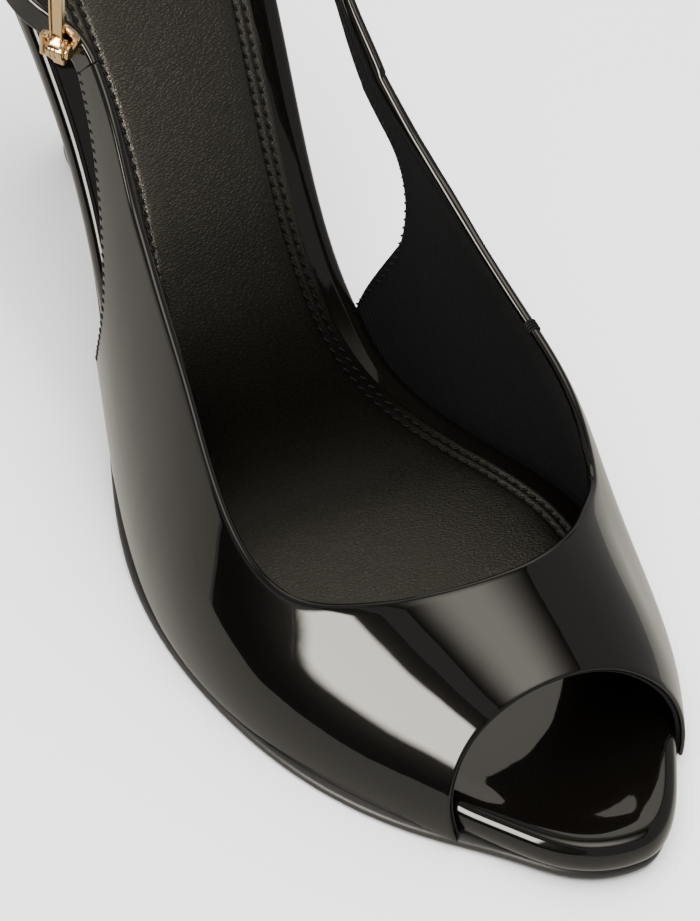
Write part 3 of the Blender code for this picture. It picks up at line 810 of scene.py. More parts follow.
class Band:
    """The upper and the sling strap as one run of columns, each a cut through the wall."""

    def __init__(self):
        top_rows = [rib for part in UPPER_RIBS for rib in part[:-1]] + [UPPER_RIBS[-1][-1]]
        self.top_along = between_rows(top_rows, "top_along")
        self.top_turn = between_rows(top_rows, "top_turn")
        self.low_along = self.low_edge("low_along")
        self.low_turn = np.clip(self.low_edge("low_turn"), 0, 180)
        self.columns = len(self.low_along)
        share = np.linspace(0, 1, COLUMN_STEPS)
        ladder = self.place(share[None, :] + 0 * self.low_along[:, None], 0)
        self.length = np.linalg.norm(np.diff(ladder, axis=1), axis=2).sum(1)
        self.strap = strap_path()
        self.on_sole = (self.low_turn < 0.01) | (self.low_turn > 179.99)
        self.blend_strap_into_wings()
        self.reach = reach_along(self.cut(np.zeros((len(self.all_lengths), 1)), np.zeros(1))[:, 0])

    @staticmethod
    def low_edge(name):
        """A column of the ribs round the lower edge, which has a corner where two parts meet."""
        parts = [between_rows(part, name)[:-1] for part in UPPER_RIBS]
        return np.concatenate([*parts, [getattr(UPPER_RIBS[-1][-1], name)]])

    def blend_strap_into_wings(self):
        """Widens and turns the two ends of the strap, so that they grow out of the tips of the wings."""
        reach, middle, ahead, width, _ = self.strap
        near_inner = 1 - soft_step(reach - reach[0], 0, STRAP_BLEND)
        near_outer = 1 - soft_step(reach[-1] - reach, 0, STRAP_BLEND / 2)
        lengths = STRAP_WIDTH + 0 * reach
        edges = self.place(np.array([[0.0, 1.0]]), 0)
        for near, end in ((near_inner, -1), (near_outer, 0)):
            tip = unit(edges[end, 1] - edges[end, 0])
            lengths += near * (self.length[end] - STRAP_WIDTH)
            width = unit(width + near[:, None] * (tip - width))
        width = unit(width - ahead * (width * ahead).sum(1)[:, None])
        self.strap = (reach, middle, ahead, width, np.cross(ahead, width))
        self.all_lengths = np.concatenate([self.length, lengths])

    def outward(self):
        """Outward direction of each column, halfway up."""
        along = (self.low_along + self.top_along) / 2
        turn = (self.low_turn + self.top_turn) / 2
        return np.concatenate([wall_normal(along, turn), self.strap[4]])

    def place(self, share, depth):
        """Points of the upper at shares up the columns and depths under the outer face."""
        along = self.low_along[:, None] + (self.top_along - self.low_along)[:, None] * share
        turn = self.low_turn[:, None] + (self.top_turn - self.low_turn)[:, None] * share
        return upper_point(along, turn) - wall_normal(along, turn) * np.asarray(depth)[..., None]

    def cut(self, drop, depth):
        """Points for each column at distances below the topline and depths under the outer face."""
        points = self.place(1 - drop[: self.columns] / self.length[:, None], depth)
        _, middle, _, width, outward = self.strap
        side = self.all_lengths[self.columns :, None] / 2 - drop[self.columns :]
        rise = WALL / 2 - np.asarray(depth) + 0 * side
        strap = middle[:, None] + width[:, None] * side[..., None] + outward[:, None] * rise[..., None]
        return np.concatenate([points, strap])


def reach_along(points):
    """Distance of each point from the first, along the line of points."""
    return np.concatenate([[0], np.cumsum(np.linalg.norm(np.diff(points, axis=0), axis=1))])


def wing_tip(rib):
    """Middle of the end of a wing, in the middle of its wall."""
    along = (rib.low_along + rib.top_along) / 2
    turn = (rib.low_turn + rib.top_turn) / 2
    return upper_point(along, turn) - wall_normal(along, turn) * WALL / 2


def strap_path():
    """Places, directions, widths and outward directions along the sling strap."""
    start = wing_tip(INNER_WING[-1])
    end = wing_tip(OUTER_WING[0])
    places = np.array([start, *STRAP_ROWS, end], float)
    reach = reach_along(places)
    curve = [spline(reach, places[:, axis]) for axis in range(3)]
    first, last = reach[0] + STRAP_END_GAPS[0], reach[-1] - STRAP_END_GAPS[1]
    fine = np.linspace(first, last, (len(places) - 1) * STRAP_STEPS + 1)
    middle = np.stack([axis(fine) for axis in curve], -1)
    ahead = unit(np.stack([axis(fine + SMALL_STEP) - axis(fine - SMALL_STEP) for axis in curve], -1))
    up = np.array([0.0, 0.0, 1.0])
    width = unit(up - ahead * (ahead @ up)[:, None])
    return fine, middle, ahead, width, np.cross(ahead, width)


def profile_columns(rows, length):
    """Drops of each row for every column's length, and depths of the rows."""
    return np.stack([drop + 0 * length for drop, _ in rows], 1), np.array([depth for _, depth in rows])


def patent_profile(length):
    """Closed cut through the patent skin: outer face, folded topline, inner leg and lower edge."""
    radius = sizes().fold_radius / MM
    thick = sizes().patent_thickness / MM
    leg = sizes().lining_drop / MM
    edge = thick / 2
    arc = np.linspace(0, math.pi, ARC_STEPS)[1:]
    rows = [(length - edge - (length - edge - radius) * share, 0) for share in np.linspace(0, 1, WALL_ROWS)]
    rows += [(radius - radius * math.sin(angle), radius - radius * math.cos(angle)) for angle in arc]
    rows += [(leg - 0.25, 2 * radius), (leg, 2 * radius - PRESS), (leg + 0.05, thick)]
    rows += [(leg + (length - edge - leg) * share, thick) for share in np.linspace(0.1, 1, 7)]
    rows += [(length - edge + edge * math.sin(angle), edge + edge * math.cos(angle)) for angle in arc[:-1]]
    return profile_columns(rows, length)


def lining_profile(length):
    """Closed cut through the lining, from just below the fold to the lower edge, with a pressed seam."""
    leg = sizes().lining_drop / MM + SKIN_GAP
    outer = sizes().patent_thickness / MM + SKIN_GAP
    inner = WALL - SKIN_GAP
    seam = leg + SEAM_DROP
    start = seam + 0.3
    pressed = inner - PRESS
    rows = [(leg, outer), (leg, pressed), (leg + PRESS, inner), (seam - 0.3, inner), (seam - 0.1, pressed)]
    rows += [(seam + 0.1, pressed), (start, inner)]
    rows += [(start + (length - 0.25 - start) * share, inner) for share in np.linspace(0.06, 1, 18)]
    rows += [(length - 0.1, inner - 0.15), (length - 0.1, outer)]
    rows += [(start + (length - start) * share, outer) for share in np.linspace(0.9, 0.1, 5)]
    return profile_columns(rows, length)


BAND = Band()


def band_piece(name, profile, made_of):
    """Piece that runs round the upper and on along the strap with one closed cut."""
    drop, depth = profile(BAND.all_lengths)
    points = BAND.cut(drop, depth)
    sunk = np.zeros(len(points))
    sunk[: BAND.columns] = np.where(BAND.on_sole, SUNK_EDGE, 0)
    bottom = soft_step(BAND.all_lengths[:, None] - drop, 1.5, 0)
    points[..., 2] -= sunk[:, None] * bottom
    uv = np.stack([BAND.reach[:, None] + 0 * drop, drop], -1)
    return skin(name, points, made_of, caps=True, uv=uv)


def insole_edge(extra):
    """Inset of a ring of the insole: tucked in a little where the upper's wall passes it."""

    def inset(along):
        return extra + INSOLE_TUCK * soft_step(along, *TUCK_STARTS) * (1 - soft_step(along, *TUCK_ENDS))

    return inset


def insole_rise(height, dish=0.0):
    """Height of a ring of the insole, thicker in the open toe, where its top is dished."""

    def rise(along):
        front = 1 - soft_step(along, *OPEN_TOE)
        return height * (1 + TOE_RIM_EXTRA / INSOLE_THICKNESS * front) - dish * front

    return rise


def outsole_edge(extra):
    return lambda along: SOLE_INSET(along) + extra


class SHOE_OT_upper(bpy.types.Operator):
    """Patent upper with its folded topline, and the strap that grows out of its inner wing."""

    bl_idname = "shoe.upper"
    bl_label = "Upper and strap"

    def execute(self, context):
        piece = band_piece("upper_patent", patent_profile, look("patent"))
        finish(piece, "patent", "upper", "sling_strap")
        return {"FINISHED"}


class SHOE_OT_lining(bpy.types.Operator):
    """Ribbed lining inside the upper and along the strap."""

    bl_idname = "shoe.lining"
    bl_label = "Lining"

    def execute(self, context):
        finish(band_piece("upper_lining", lining_profile, look("lining")), "lining")
        return {"FINISHED"}


class SHOE_OT_insole(bpy.types.Operator):
    """Insole wrapped in patent, with its round rim and dished toe."""

    bl_idname = "shoe.insole"
    bl_label = "Insole"

    def execute(self, context):
        insets, rises = (between_rows(INSOLE_RIM, name, INSOLE_RIM_STEPS) for name in ("inset", "rise"))
        profile = [(insole_edge(inset), insole_rise(rise)) for inset, rise in zip(insets, rises)]
        for share in (0.2, 0.4, 0.6, 0.8, 1):
            inset = INSOLE_RIM[-1].inset + (INSOLE_DISH_INSET - INSOLE_RIM[-1].inset) * share
            dish = float(TOE_DISH * soft_step(share, 0, 1))
            profile.append((insole_edge(inset), insole_rise(INSOLE_THICKNESS, dish)))
        top = [(share, 0) for share in (0.12, 0.3, 0.5, 0.7, 0.85, 1)]
        rings = layer(profile, FLAT_MIDDLE, top)
        finish(skin("insole_wrap", rings, look("patent")), "patent", "insole")
        return {"FINISHED"}


def sock_profile():
    """Rows of the sock from its underside up: thin edge, two stitched channels, then the padding."""
    crown = sizes().sock_crown / MM
    low = SOCK_BASE - GAP
    top = SOCK_BASE + SOCK_THICKNESS
    rows = [(7.0, low), (6.6, low + 0.25), (6.5, top - 0.8), (6.55, top - 0.5), (6.75, top - 0.3)]
    rows.append((7.1, top - 0.2))
    for inset in SOCK_ROWS:
        for side, share in ((-0.55, 0.42), (-0.2, 0.92), (0, 1), (0.2, 0.92), (0.55, 0.42)):
            rows.append((inset + side, top - SOCK_ROW_DEPTH * share))
    last = SOCK_ROWS[-1]
    rows += [(last + 0.6, top - 0.2), (last + 1.3, top), (last + 2.3, top + 0.25 * crown)]
    rows.append((last + 3.5, top + 0.5 * crown))
    return rows


class SHOE_OT_sock(bpy.types.Operator):
    """Padded sock with its stitched border."""

    bl_idname = "shoe.sock"
    bl_label = "Sock"

    def execute(self, context):
        crown = sizes().sock_crown / MM
        shares = (0.08, 0.18, 0.3, 0.45, 0.6, 0.75, 0.88, 1)
        top = [(share, 0.5 * crown * math.sin(share * math.pi / 2)) for share in shares]
        rings = layer(sock_profile(), FLAT_MIDDLE, top, start=SOCK_START, corner=SOCK_CORNER)
        piece = finish(skin("sock_pad", rings, look("sock")), "sock_leather", "sock")
        return {"FINISHED"}


class SHOE_OT_outsole(bpy.types.Operator):
    """Thin outsole."""

    bl_idname = "shoe.outsole"
    bl_label = "Outsole"

    def execute(self, context):
        profile = [(outsole_edge(row.inset), row.rise) for row in OUTSOLE_RIM]
        rings = layer(profile, FLAT_MIDDLE, FLAT_MIDDLE)
        finish(skin("outsole_sheet", rings, look("sole")), "sole_rubber", "outsole")
        return {"FINISHED"}


def under_the_sole(along):
    """Height of the surface that the heel is fixed to."""
    rise = -1.2 * GAP - OUTSOLE_THICKNESS
    tilt = bed_tilt(BED_ALONG)
    return np.interp(along, BED_ALONG - rise * np.sin(tilt), BED_HEIGHT + rise * np.cos(tilt))


def heel_ring(share, scale=1.0):
    """One closed section of the heel: full at the back, hollow at the breast."""
    sideways, half_width, front, back, fullness, hollow = (
        float(spline(column(HEEL_ROWS, "share"), column(HEEL_ROWS, name))(share))
        for name in ("across", "half_width", "front", "back", "fullness", "hollow")
    )
    angle = np.linspace(0, 2 * math.pi, HEEL_POINTS, endpoint=False)
    sine, cosine = np.sin(angle), np.cos(angle)
    exponent = 2 / fullness
    across = half_width * fuller(cosine, exponent)
    behind = (back - front) * np.abs(sine) ** exponent
    along = front + np.where(sine > 0, behind, hollow * np.abs(sine))
    middle = (front + hollow + back) / 2
    along = middle + (along - middle) * scale
    seat = under_the_sole(along)
    return np.stack([sideways + across * scale, along, seat + (TOP_PIECE_HEIGHT - seat) * share], -1)


class SHOE_OT_heel(bpy.types.Operator):
    """Slim heel wrapped in patent, with its top piece."""

    bl_idname = "shoe.heel"
    bl_label = "Heel"

    def execute(self, context):
        rings = [heel_ring(0, scale) for scale in SEAT_RING_SCALES]
        rings += [heel_ring(share) for share in np.linspace(0, 1, HEEL_LEVELS)]
        finish(skin("heel_wrap", rings, look("patent"), caps=True), "wrapped_heel", "heel")
        foot = []
        for height, scale in TOP_PIECE_ROWS:
            ring = heel_ring(1, scale)
            ring[:, 2] = height
            foot.append(ring)
        finish(skin("heel_tip", foot, look("sole"), caps=True), "sole_rubber", "heel_top_piece")
        return {"FINISHED"}


@cache
def stitch_tree():
    """Geometry nodes that set a slanted thread bead at every pitch along a path."""
    tree = bpy.data.node_groups.new("Row of stitches", "GeometryNodeTree")
    face = tree.interface
    face.new_socket("Geometry", in_out="OUTPUT", socket_type="NodeSocketGeometry")
    face.new_socket("Geometry", in_out="INPUT", socket_type="NodeSocketGeometry")
    for name in ("Pitch", "Stitch Length", "Thread Thickness"):
        face.new_socket(name, in_out="INPUT", socket_type="NodeSocketFloat").subtype = "DISTANCE"
    face.new_socket("Slant", in_out="INPUT", socket_type="NodeSocketFloat").subtype = "ANGLE"
    face.new_socket("Material", in_out="INPUT", socket_type="NodeSocketMaterial")
    given = tree.nodes.new("NodeGroupInput").outputs

    def put(kind, inputs=None, **settings):
        return node(tree, kind, inputs, **settings).outputs[0]

    curve = put("GeometryNodeMeshToCurve", {"Mesh": given["Geometry"]})
    evenly = put("GeometryNodeResampleCurve", {"Curve": curve, "Length": given["Pitch"]}, mode="LENGTH")
    outward = put("GeometryNodeInputNamedAttribute", {"Name": "outward"}, data_type="FLOAT_VECTOR")
    sides = {"Primary Axis": outward, "Secondary Axis": put("GeometryNodeInputTangent")}
    facing = put("FunctionNodeAxesToRotation", sides, primary_axis="Z", secondary_axis="X")
    angles = put("ShaderNodeCombineXYZ", {"Z": given["Slant"]})
    slant = {"Rotation": facing, "Rotate By": put("FunctionNodeEulerToRotation", {"Euler": angles})}
    turned = put("FunctionNodeRotateRotation", slant, rotation_space="LOCAL")
    bead = put("GeometryNodeMeshUVSphere", {"Segments": 12, "Rings": 8, "Radius": 0.5})
    thickness = given["Thread Thickness"]
    scale = put("ShaderNodeCombineXYZ", {"X": given["Stitch Length"], "Y": thickness, "Z": thickness})
    beads = {"Points": evenly, "Instance": bead, "Rotation": turned, "Scale": scale}
    real = put("GeometryNodeRealizeInstances", {"Geometry": put("GeometryNodeInstanceOnPoints", beads)})
    dressed = put("GeometryNodeSetMaterial", {"Geometry": real, "Material": given["Material"]})
    tree.links.new(dressed, tree.nodes.new("NodeGroupOutput").inputs["Geometry"])
    return tree


def stitch_row(name, points, outward, pitch, length, slant=0.0, closed=False):
    """Row of stitches along points in millimetres, made by the node tree and kept as a plain mesh."""
    tree = stitch_tree()
    count = len(points)
    edges = [(place, place + 1) for place in range(count - 1)] + ([(count - 1, 0)] if closed else [])
    data = bpy.data.meshes.new(name + "_path")
    data.from_pydata(to_frame(points).tolist(), edges, [])
    data.attributes.new("outward", "FLOAT_VECTOR", "POINT").data.foreach_set("vector", np.ravel(outward))
    path = link(bpy.data.objects.new(name + "_path", data))
    modifier = path.modifiers.new("Stitches", "NODES")
    modifier.node_group = tree
    values = {
        "Pitch": pitch * MM,
        "Stitch Length": length * MM,
        "Thread Thickness": sizes().thread,
        "Slant": math.radians(slant),
        "Material": look("thread"),
    }
    for socket in tree.interface.items_tree:
        if socket.in_out == "INPUT" and socket.name in values:
            modifier[socket.identifier] = values[socket.name]
    evaluated = path.evaluated_get(bpy.context.evaluated_depsgraph_get())
    mesh = bpy.data.meshes.new_from_object(evaluated)
    mesh.name = name
    mesh.shade_smooth()
    bpy.data.objects.remove(path, do_unlink=True)
    return link(bpy.data.objects.new(name, mesh))


def joined(name, pieces, made_of):
    """One object out of several of the same material."""
    mesh = bmesh.new()
    for piece in pieces:
        mesh.from_mesh(piece.data)
    data = bpy.data.meshes.new(name)
    mesh.to_mesh(data)
    mesh.free()
    data.materials.clear()
    data.materials.append(made_of)
    data.polygons.foreach_set("material_index", [0] * len(data.polygons))
    for piece in pieces:
        bpy.data.objects.remove(piece, do_unlink=True)
    return link(bpy.data.objects.new(name, data))


def sock_row(inset):
    """Closed row of stitches round the sock, lying in its channel."""
    across, along, _ = bed_loop(inset, start=SOCK_START, corner=SOCK_CORNER)
    rise = SOCK_BASE + SOCK_THICKNESS - SOCK_ROW_DEPTH + STITCH_LIFT
    tilt = bed_tilt(along)
    outward = np.stack([0 * along, -np.sin(tilt), np.cos(tilt)], -1)
    points = on_bed(across, along, rise + 0 * along)
    name = f"sock_row_{inset}"
    return stitch_row(name, points, outward, SOCK_PITCH, SOCK_STITCH, SOCK_SLANT, closed=True)


def edge_row(name, columns, inside):
    """Slanted stitches along the lower edge of some columns, on the outer or the inner face."""
    depth = WALL - EDGE_DEPTH if inside else EDGE_DEPTH
    side = -1 if inside else 1
    points = BAND.cut((BAND.all_lengths - EDGE_INSET)[:, None], np.array([depth]))[columns, 0]
    outward = BAND.outward()[columns] * side
    return stitch_row(name, points, outward, EDGE_PITCH, EDGE_STITCH, side * EDGE_SLANT)


class SHOE_OT_stitches(bpy.types.Operator):
    """Double row round the sock, slanted stitches over the edges of both wings, and the tack."""

    bl_idname = "shoe.stitches"
    bl_label = "Stitches"

    def execute(self, context):
        rows = [sock_row(inset) for inset in SOCK_ROWS]
        finish(joined("sock_stitches", rows, look("thread")), "thread")
        wing = (len(OUTER_WING) - 1) * RIB_STEPS
        reach = BAND.strap[0]
        on_strap = int((reach - reach[0] < STITCHED_STRAP).sum())
        outer = np.arange(wing, -1, -1)
        inner = np.arange(BAND.columns - wing - 1, BAND.columns + on_strap)
        rows = []
        for name, columns in (("outer_wing", outer), ("inner_wing", inner)):
            for inside in (False, True):
                rows.append(edge_row(f"{name}_{inside}", columns, inside))
        finish(joined("wing_stitches", rows, look("thread")), "thread")
        finish(make_tack(), "thread")
        return {"FINISHED"}


def make_tack():
    """Short loops of thread over the fold of the topline, where the front panel meets the inner wing."""
    inner = np.flatnonzero(BAND.top_turn > 90)
    middle = inner[np.argmin(np.abs(BAND.top_along[inner] - TACK_ALONG))]
    fold = sizes().fold_radius / MM
    thread = sizes().thread / MM / 2
    radius = fold + thread * 0.6
    angle = np.linspace(*TACK_TURNS, TACK_POINTS) * math.pi
    drop = fold - radius * np.sin(angle)
    points = BAND.cut(BAND.all_lengths[:, None] * 0 + drop, fold - radius * np.cos(angle))
    step = unit((points[middle + 1] - points[middle - 1]).mean(0))
    loops = []
    for loop in range(TACK_LOOPS):
        line = points[middle] + step * (loop - (TACK_LOOPS - 1) / 2) * TACK_PITCH
        loops.append(tube(f"loop_{loop}", line, thread, look("thread")))
    return joined("topline_tack", loops, look("thread"))


# A direction that no thread follows, to start a tube's section from
OFF_AXIS = (0.31, 0.17, 0.53)


def tube(name, line, radius, made_of, sides=10):
    """Round tube along a line of points."""
    line = np.asarray(line, float)
    ahead = unit(np.gradient(line, axis=0))
    first = unit(np.cross(ahead, ahead[len(ahead) // 2] + np.array(OFF_AXIS)))
    second = np.cross(ahead, first)
    angle = np.linspace(0, 2 * math.pi, sides, endpoint=False)
    ring = first[:, None] * np.cos(angle)[:, None] + second[:, None] * np.sin(angle)[:, None]
    return skin(name, line[:, None] + ring * radius, made_of, caps=True)


def buckle_place():
    """Middle of the buckle on the strap's outer face, with its own three directions."""
    reach, middle, ahead, width, outward = strap_path()
    row = int(np.argmin(np.abs(reach - (reach[-1] - BUCKLE_FROM_WING - BUCKLE_LENGTH / 2))))
    return middle[row], ahead[row], width[row], outward[row]


def bar_loft(name, origin, axes, rows, section):
    """Closed section pushed along the first axis, with a place and two scales for each row."""
    forward, sideways, out = axes
    rings = [
        [origin + forward * place + sideways * side * wide + out * rise * tall for side, rise in section]
        for place, wide, tall in rows
    ]
    return skin(name, rings, look("gold"), caps=True, sharp=35)


def block(name, origin, axes, length, width, height, edge=0.18):
    """Box with softened edges, centred on its origin."""
    side, rise = width / 2, height / 2
    section = (
        (-side, -rise + edge), (-side + edge, -rise), (side - edge, -rise), (side, -rise + edge),
        (side, rise - edge), (side - edge, rise), (-side + edge, rise), (-side, rise - edge),
    )
    small = (1 - 2 * edge / width, 1 - 2 * edge / height)
    half = length / 2
    rows = ((-half, *small), (-half + edge, 1, 1), (half - edge, 1, 1), (half, *small))
    return bar_loft(name, origin, axes, rows, section)


def barrel(name, origin, axis, axes, length, radius, groove=0.0):
    """Short round barrel along an axis, with rounded rims and two grooves of a given depth round it."""
    half = length / 2
    rim = ((half - 0.4, 1), (half - 0.18, 0.97), (half, 0.86))
    rows = [(-place, scale) for place, scale in rim[::-1]]
    if groove:
        for middle in BARREL_GROOVES:
            rows += [(middle - 0.16, 1), (middle - 0.08, 1 - groove)]
            rows += [(middle + 0.08, 1 - groove), (middle + 0.16, 1)]
    rows += rim
    angle = np.linspace(0, 2 * math.pi, BARREL_POINTS, endpoint=False)
    circle = axes[0] * np.cos(angle)[:, None] + axes[1] * np.sin(angle)[:, None]
    rings = [origin + axis * place + circle * radius * scale for place, scale in rows]
    return skin(name, rings, look("gold"), caps=True, sharp=35)


class SHOE_OT_buckle(bpy.types.Operator):
    """Gold buckle: frame round the strap, hinge barrel and the grooved upright bar."""

    bl_idname = "shoe.buckle"
    bl_label = "Buckle"

    def execute(self, context):
        centre, ahead, width, outward = buckle_place()
        finish(buckle_ring(centre, ahead, width, outward), "buckle_gold", "buckle_frame")
        lift = STRAP_THICKNESS / 2 + GAP + BUCKLE_WIRE + GAP + TONGUE_THICKNESS / 2
        foot = centre - width * TONGUE_FOOT_DROP + outward * lift
        finish(buckle_bar(foot, outward), "buckle_gold", "buckle_tongue")
        return {"FINISHED"}


def buckle_ring(centre, ahead, width, outward):
    """Rounded frame of flat wire."""
    middle = centre + outward * (STRAP_THICKNESS / 2 + GAP + BUCKLE_WIRE / 2)
    radius = BUCKLE_WIRE / 2
    half_length = BUCKLE_LENGTH / 2 - radius - BUCKLE_CORNER
    half_width = BUCKLE_WIDTH / 2 - radius - BUCKLE_CORNER
    turn = np.linspace(0, 2 * math.pi, WIRE_POINTS, endpoint=False)
    flat = (BUCKLE_CORNER + radius * fuller(np.cos(turn), WIRE_FULLNESS))[:, None]
    tall = (radius * fuller(np.sin(turn), WIRE_FULLNESS))[:, None]
    rings = []
    for quarter, (lengthwise, across) in enumerate(((1, 1), (-1, 1), (-1, -1), (1, -1))):
        bend = middle + ahead * half_length * lengthwise + width * half_width * across
        for step in range(CORNER_STEPS + 1):
            angle = math.pi / 2 * (quarter + step / CORNER_STEPS)
            out = ahead * math.cos(angle) + width * math.sin(angle)
            rings.append(bend + out * flat + outward * tall)
    return skin("buckle_ring", rings, look("gold"), turn=True)


def bar_section():
    """Section of the bar, round from one side of its back, with a low ridge in the middle of the groove."""
    side = TONGUE_WIDTH / 2
    face = TONGUE_THICKNESS / 2
    bottom = face - GROOVE_DEPTH
    half = [(side - 0.15, -face), (side, 0.15 - face), (side, face - 0.1), (side - 0.1, face)]
    half += [(side - BAR_LIP, face), (side - BAR_LIP - GROOVE_SIDE, bottom)]
    other = [(-across, depth) for across, depth in half]
    return [other[1], other[0], *half, (0, bottom + 0.06), *other[:1:-1]]


def buckle_bar(foot, outward):
    """Upright bar with its wedge, hinge barrel, side leg, cap and lug."""
    upright = np.array([0.0, 0.0, 1.0])
    sideways = np.cross(outward, upright)
    axes = (upright, sideways, outward)
    round_axes = (upright, outward)
    pivot = foot - outward * 0.4
    leg = pivot + sideways * (BARREL_LENGTH / 2 + 1.25)
    pieces = [
        bar_loft("bar", foot, axes, BAR_ROWS, bar_section()),
        bar_loft("wedge", foot, axes, WEDGE_ROWS, WEDGE_SECTION),
        barrel("barrel", pivot, sideways, round_axes, BARREL_LENGTH, BARREL_RADIUS, 0.07),
        block("leg", leg, axes, 4.6, 0.75, 1.5),
        block("leg_top", leg + upright * 1.95 - sideways * 0.6, axes, 0.7, 1.5, 1.5),
        block("leg_foot", leg - upright * 1.95 - sideways * 0.6, axes, 0.7, 1.5, 1.5),
        barrel("cap", pivot - sideways * 2.1, sideways, round_axes, 0.9, 1.5),
        block("lug", pivot - upright * 2.3 - sideways * 0.3, axes, 1.7, 2.1, 1.3),
    ]
    return joined("buckle_bar", pieces, look("gold"))


class SHOE_OT_stage(bpy.types.Operator):
    """Pale floor, soft studio light and the camera."""

    bl_idname = "shoe.stage"
    bl_label = "Stage"

    def execute(self, context):
        add_floor()
        add_cards()
        add_lights()
        add_camera()
        return {"FINISHED"}


def add_floor():
    """Pale floor, left out of the reflections, where a card stands for it."""
    half = FLOOR_SIZE / 2
    data = bpy.data.meshes.new("floor")
    corners = [(-half, -half, 0), (half, -half, 0), (half, half, 0), (-half, half, 0)]
    data.from_pydata(corners, [], [(0, 1, 2, 3)])
    data.materials.append(new_look("Studio floor", colours().floor, 0.85, specular_ior_level=0.2)[0])
    made = link(bpy.data.objects.new("floor", data))
    made.visible_glossy = False


def softbox(name, place, width, height, power):
    """Rectangular light aimed at the shoe, which doesn't show in reflections."""
    light = bpy.data.lights.new(name, "AREA")
    light.shape = "RECTANGLE"
    light.size = width
    light.size_y = height
    light.energy = power
    made = link(bpy.data.objects.new(name, light))
    made.visible_glossy = False
    made.location = place
    made.rotation_euler = (-Vector(place)).to_track_quat("-Z", "Y").to_euler()


# Cards that stand far round the set and show only in reflections, in metres of the frame. `soft` is the
# share of a card over which its light fades in from each side
CARD_COLOUR = (1.0, 0.94, 0.83, 1)
Card = namedtuple("Card", "name first second third radiance soft")
CARDS = (
    Card("window", (-1.10, -0.09, -0.065), (-1.10, -0.72, -0.065), (-1.10, -0.09, 0.74), 23.0, 0.14),
    Card("dark under window", (-1.12, 0.44, -0.42), (-1.12, -1.8, -0.42), (-1.12, 0.44, -0.06), 0.005, 0.0),
    Card("dark side", (-1.13, 0.44, -0.2), (-1.13, -0.08, -0.2), (-1.13, 0.44, 0.3), 0.01, 0.0),
    Card("dark beside window", (-1.13, -0.70, -0.2), (-0.9, -1.8, -0.2), (-1.13, -0.70, 0.8), 0.15, 0.0),
    Card("dark above window", (-1.14, 0.2, 0.74), (-1.14, -1.6, 0.74), (-1.14, 0.2, 1.15), 0.03, 0.0),
    Card("bright side", (-1.08, 0.45, -0.38), (-1.08, 1.9, -0.38), (-1.08, 0.45, 0.3), 0.85, 0.0),
    Card("table", (-1.07, -1.6, -0.38), (-1.07, 1.6, -0.38), (1.6, -1.6, -0.38), 0.85, 0.0),
    Card("ceiling", (-0.75, -1.15, 1.2), (-0.75, 0.25, 1.2), (0.7, -1.15, 1.2), 4.1, 0.45),
    Card("rear", (-0.4, 1.3, 0.6), (1.4, 0.7, 0.6), (-0.4, 1.3, 1.9), 1.6, 0.3),
)


def card_look(card):
    """Glow of a card, which fades in from its sides."""
    made = bpy.data.materials.new(card.name)
    made.use_nodes = True
    tree = made.node_tree
    strength = card.radiance
    if card.soft:
        place = node(tree, "ShaderNodeSeparateXYZ", {0: node(tree, "ShaderNodeTexCoord").outputs["UV"]})
        for axis in ("X", "Y"):
            folded = node(tree, "ShaderNodeMath", {0: place.outputs[axis], 1: 0.5}, operation="PINGPONG")
            inputs = {"Value": folded.outputs["Value"], "From Max": card.soft}
            fade = node(tree, "ShaderNodeMapRange", inputs, interpolation_type="SMOOTHSTEP")
            strength = times(tree, strength, fade.outputs["Result"])
    glow = node(tree, "ShaderNodeEmission", {"Color": CARD_COLOUR, "Strength": strength})
    tree.links.new(glow.outputs["Emission"], tree.nodes["Material Output"].inputs["Surface"])
    return made


def add_cards():
    """Bright and dark cards, each a rectangle from a corner to its two neighbours."""
    for card in CARDS:
        first, second, third = (Vector(corner) for corner in card[1:4])
        data = bpy.data.meshes.new(card.name)
        data.from_pydata([first, second, second + third - first, third], [], [(0, 1, 2, 3)])
        layer_of_uv = data.uv_layers.new(name="UVMap")
        layer_of_uv.data.foreach_set("uv", (0, 0, 1, 0, 1, 1, 0, 1))
        data.materials.append(card_look(card))
        piece = link(bpy.data.objects.new(card.name, data))
        for kind in ("camera", "diffuse", "glossy", "transmission", "shadow", "volume_scatter"):
            setattr(piece, "visible_" + kind, kind == "glossy")


def add_lights():
    world = bpy.data.worlds.new("Studio")
    world.use_nodes = True
    background = world.node_tree.nodes["Background"]
    background.inputs["Color"].default_value = (1.0, 0.985, 0.96, 1)
    background.inputs["Strength"].default_value = 0.4
    bpy.context.scene.world = world
    softbox("Overhead", (-0.15, -0.25, 1.1), 1.2, 1.0, 37)
    softbox("Fill", (0.5, 0.5, 1.3), 1.4, 1.4, 29)


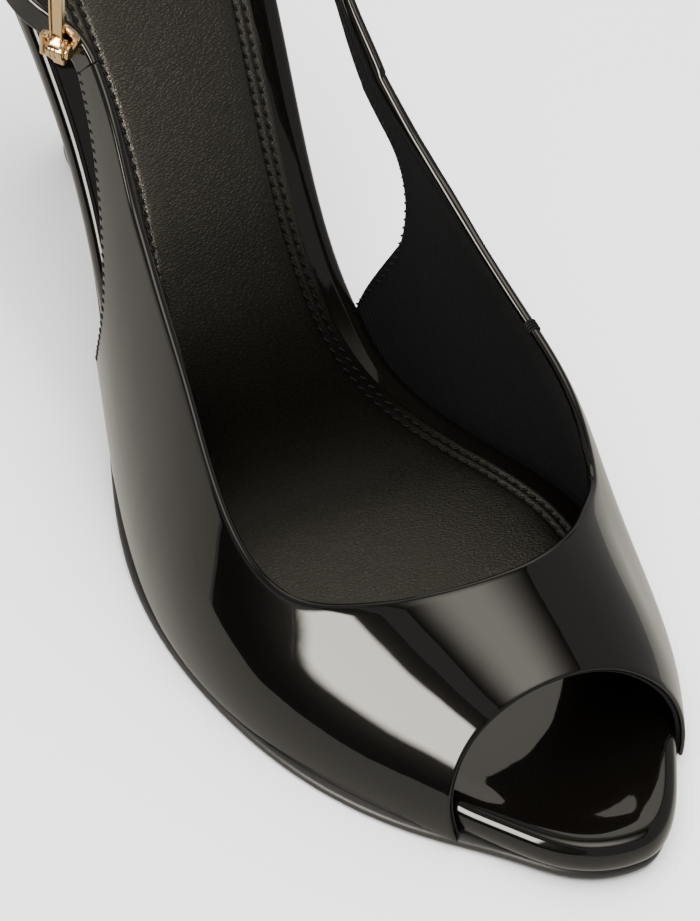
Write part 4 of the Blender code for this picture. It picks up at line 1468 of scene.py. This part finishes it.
def add_camera():
    """Camera from the place it had to the shoe, with its own roll."""
    sine, cosine = math.sin(CAMERA_AZIMUTH), math.cos(CAMERA_AZIMUTH)
    level = math.cos(CAMERA_ELEVATION)
    forward = Vector((sine * level, cosine * level, -math.sin(CAMERA_ELEVATION)))
    right = Vector((cosine, -sine, 0))
    up = right.cross(forward)
    rolled_right = right * math.cos(CAMERA_ROLL) + up * math.sin(CAMERA_ROLL)
    rolled_up = up * math.cos(CAMERA_ROLL) - right * math.sin(CAMERA_ROLL)
    camera = bpy.data.cameras.new("Camera")
    camera.sensor_fit = "HORIZONTAL"
    camera.sensor_width = SENSOR_WIDTH
    camera.lens = FOCAL_PIXELS * SENSOR_WIDTH / PHOTO_WIDTH
    camera.clip_start = 0.05
    camera.clip_end = 20
    made = link(bpy.data.objects.new("Camera", camera))
    turn = Matrix((rolled_right, rolled_up, -forward)).transposed().to_4x4()
    eye = Vector(to_frame(CAMERA_TARGET)) - forward * CAMERA_DISTANCE * MM
    made.matrix_world = Matrix.Translation(eye) @ turn
    bpy.context.scene.camera = made


class SHOE_PT_panel(bpy.types.Panel):
    """Lists the pieces of the shoe."""

    bl_label = "Peep toe pump"
    bl_idname = "SHOE_PT_panel"
    bl_space_type = "VIEW_3D"
    bl_region_type = "UI"
    bl_category = "Shoe"

    def draw(self, context):
        for operator in OPERATORS:
            self.layout.operator(operator.bl_idname)
        for group in (context.scene.shoe_sizes, context.scene.shoe_colours):
            for name in group.__annotations__:
                self.layout.prop(group, name)


OPERATORS = (
    SHOE_OT_stage,
    SHOE_OT_upper,
    SHOE_OT_lining,
    SHOE_OT_insole,
    SHOE_OT_sock,
    SHOE_OT_outsole,
    SHOE_OT_heel,
    SHOE_OT_stitches,
    SHOE_OT_buckle,
)
CLASSES = (ShoeSizes, ShoeColours, *OPERATORS, SHOE_PT_panel)


def register():
    for made in CLASSES:
        bpy.utils.register_class(made)
    bpy.types.Scene.shoe_sizes = bpy.props.PointerProperty(type=ShoeSizes)
    bpy.types.Scene.shoe_colours = bpy.props.PointerProperty(type=ShoeColours)


def unregister():
    del bpy.types.Scene.shoe_colours
    del bpy.types.Scene.shoe_sizes
    for made in reversed(CLASSES):
        bpy.utils.unregister_class(made)


def main():
    register()
    for operator in OPERATORS:
        category, name = operator.bl_idname.split(".")
        getattr(getattr(bpy.ops, category), name)()


if __name__ == "__main__":
    main()
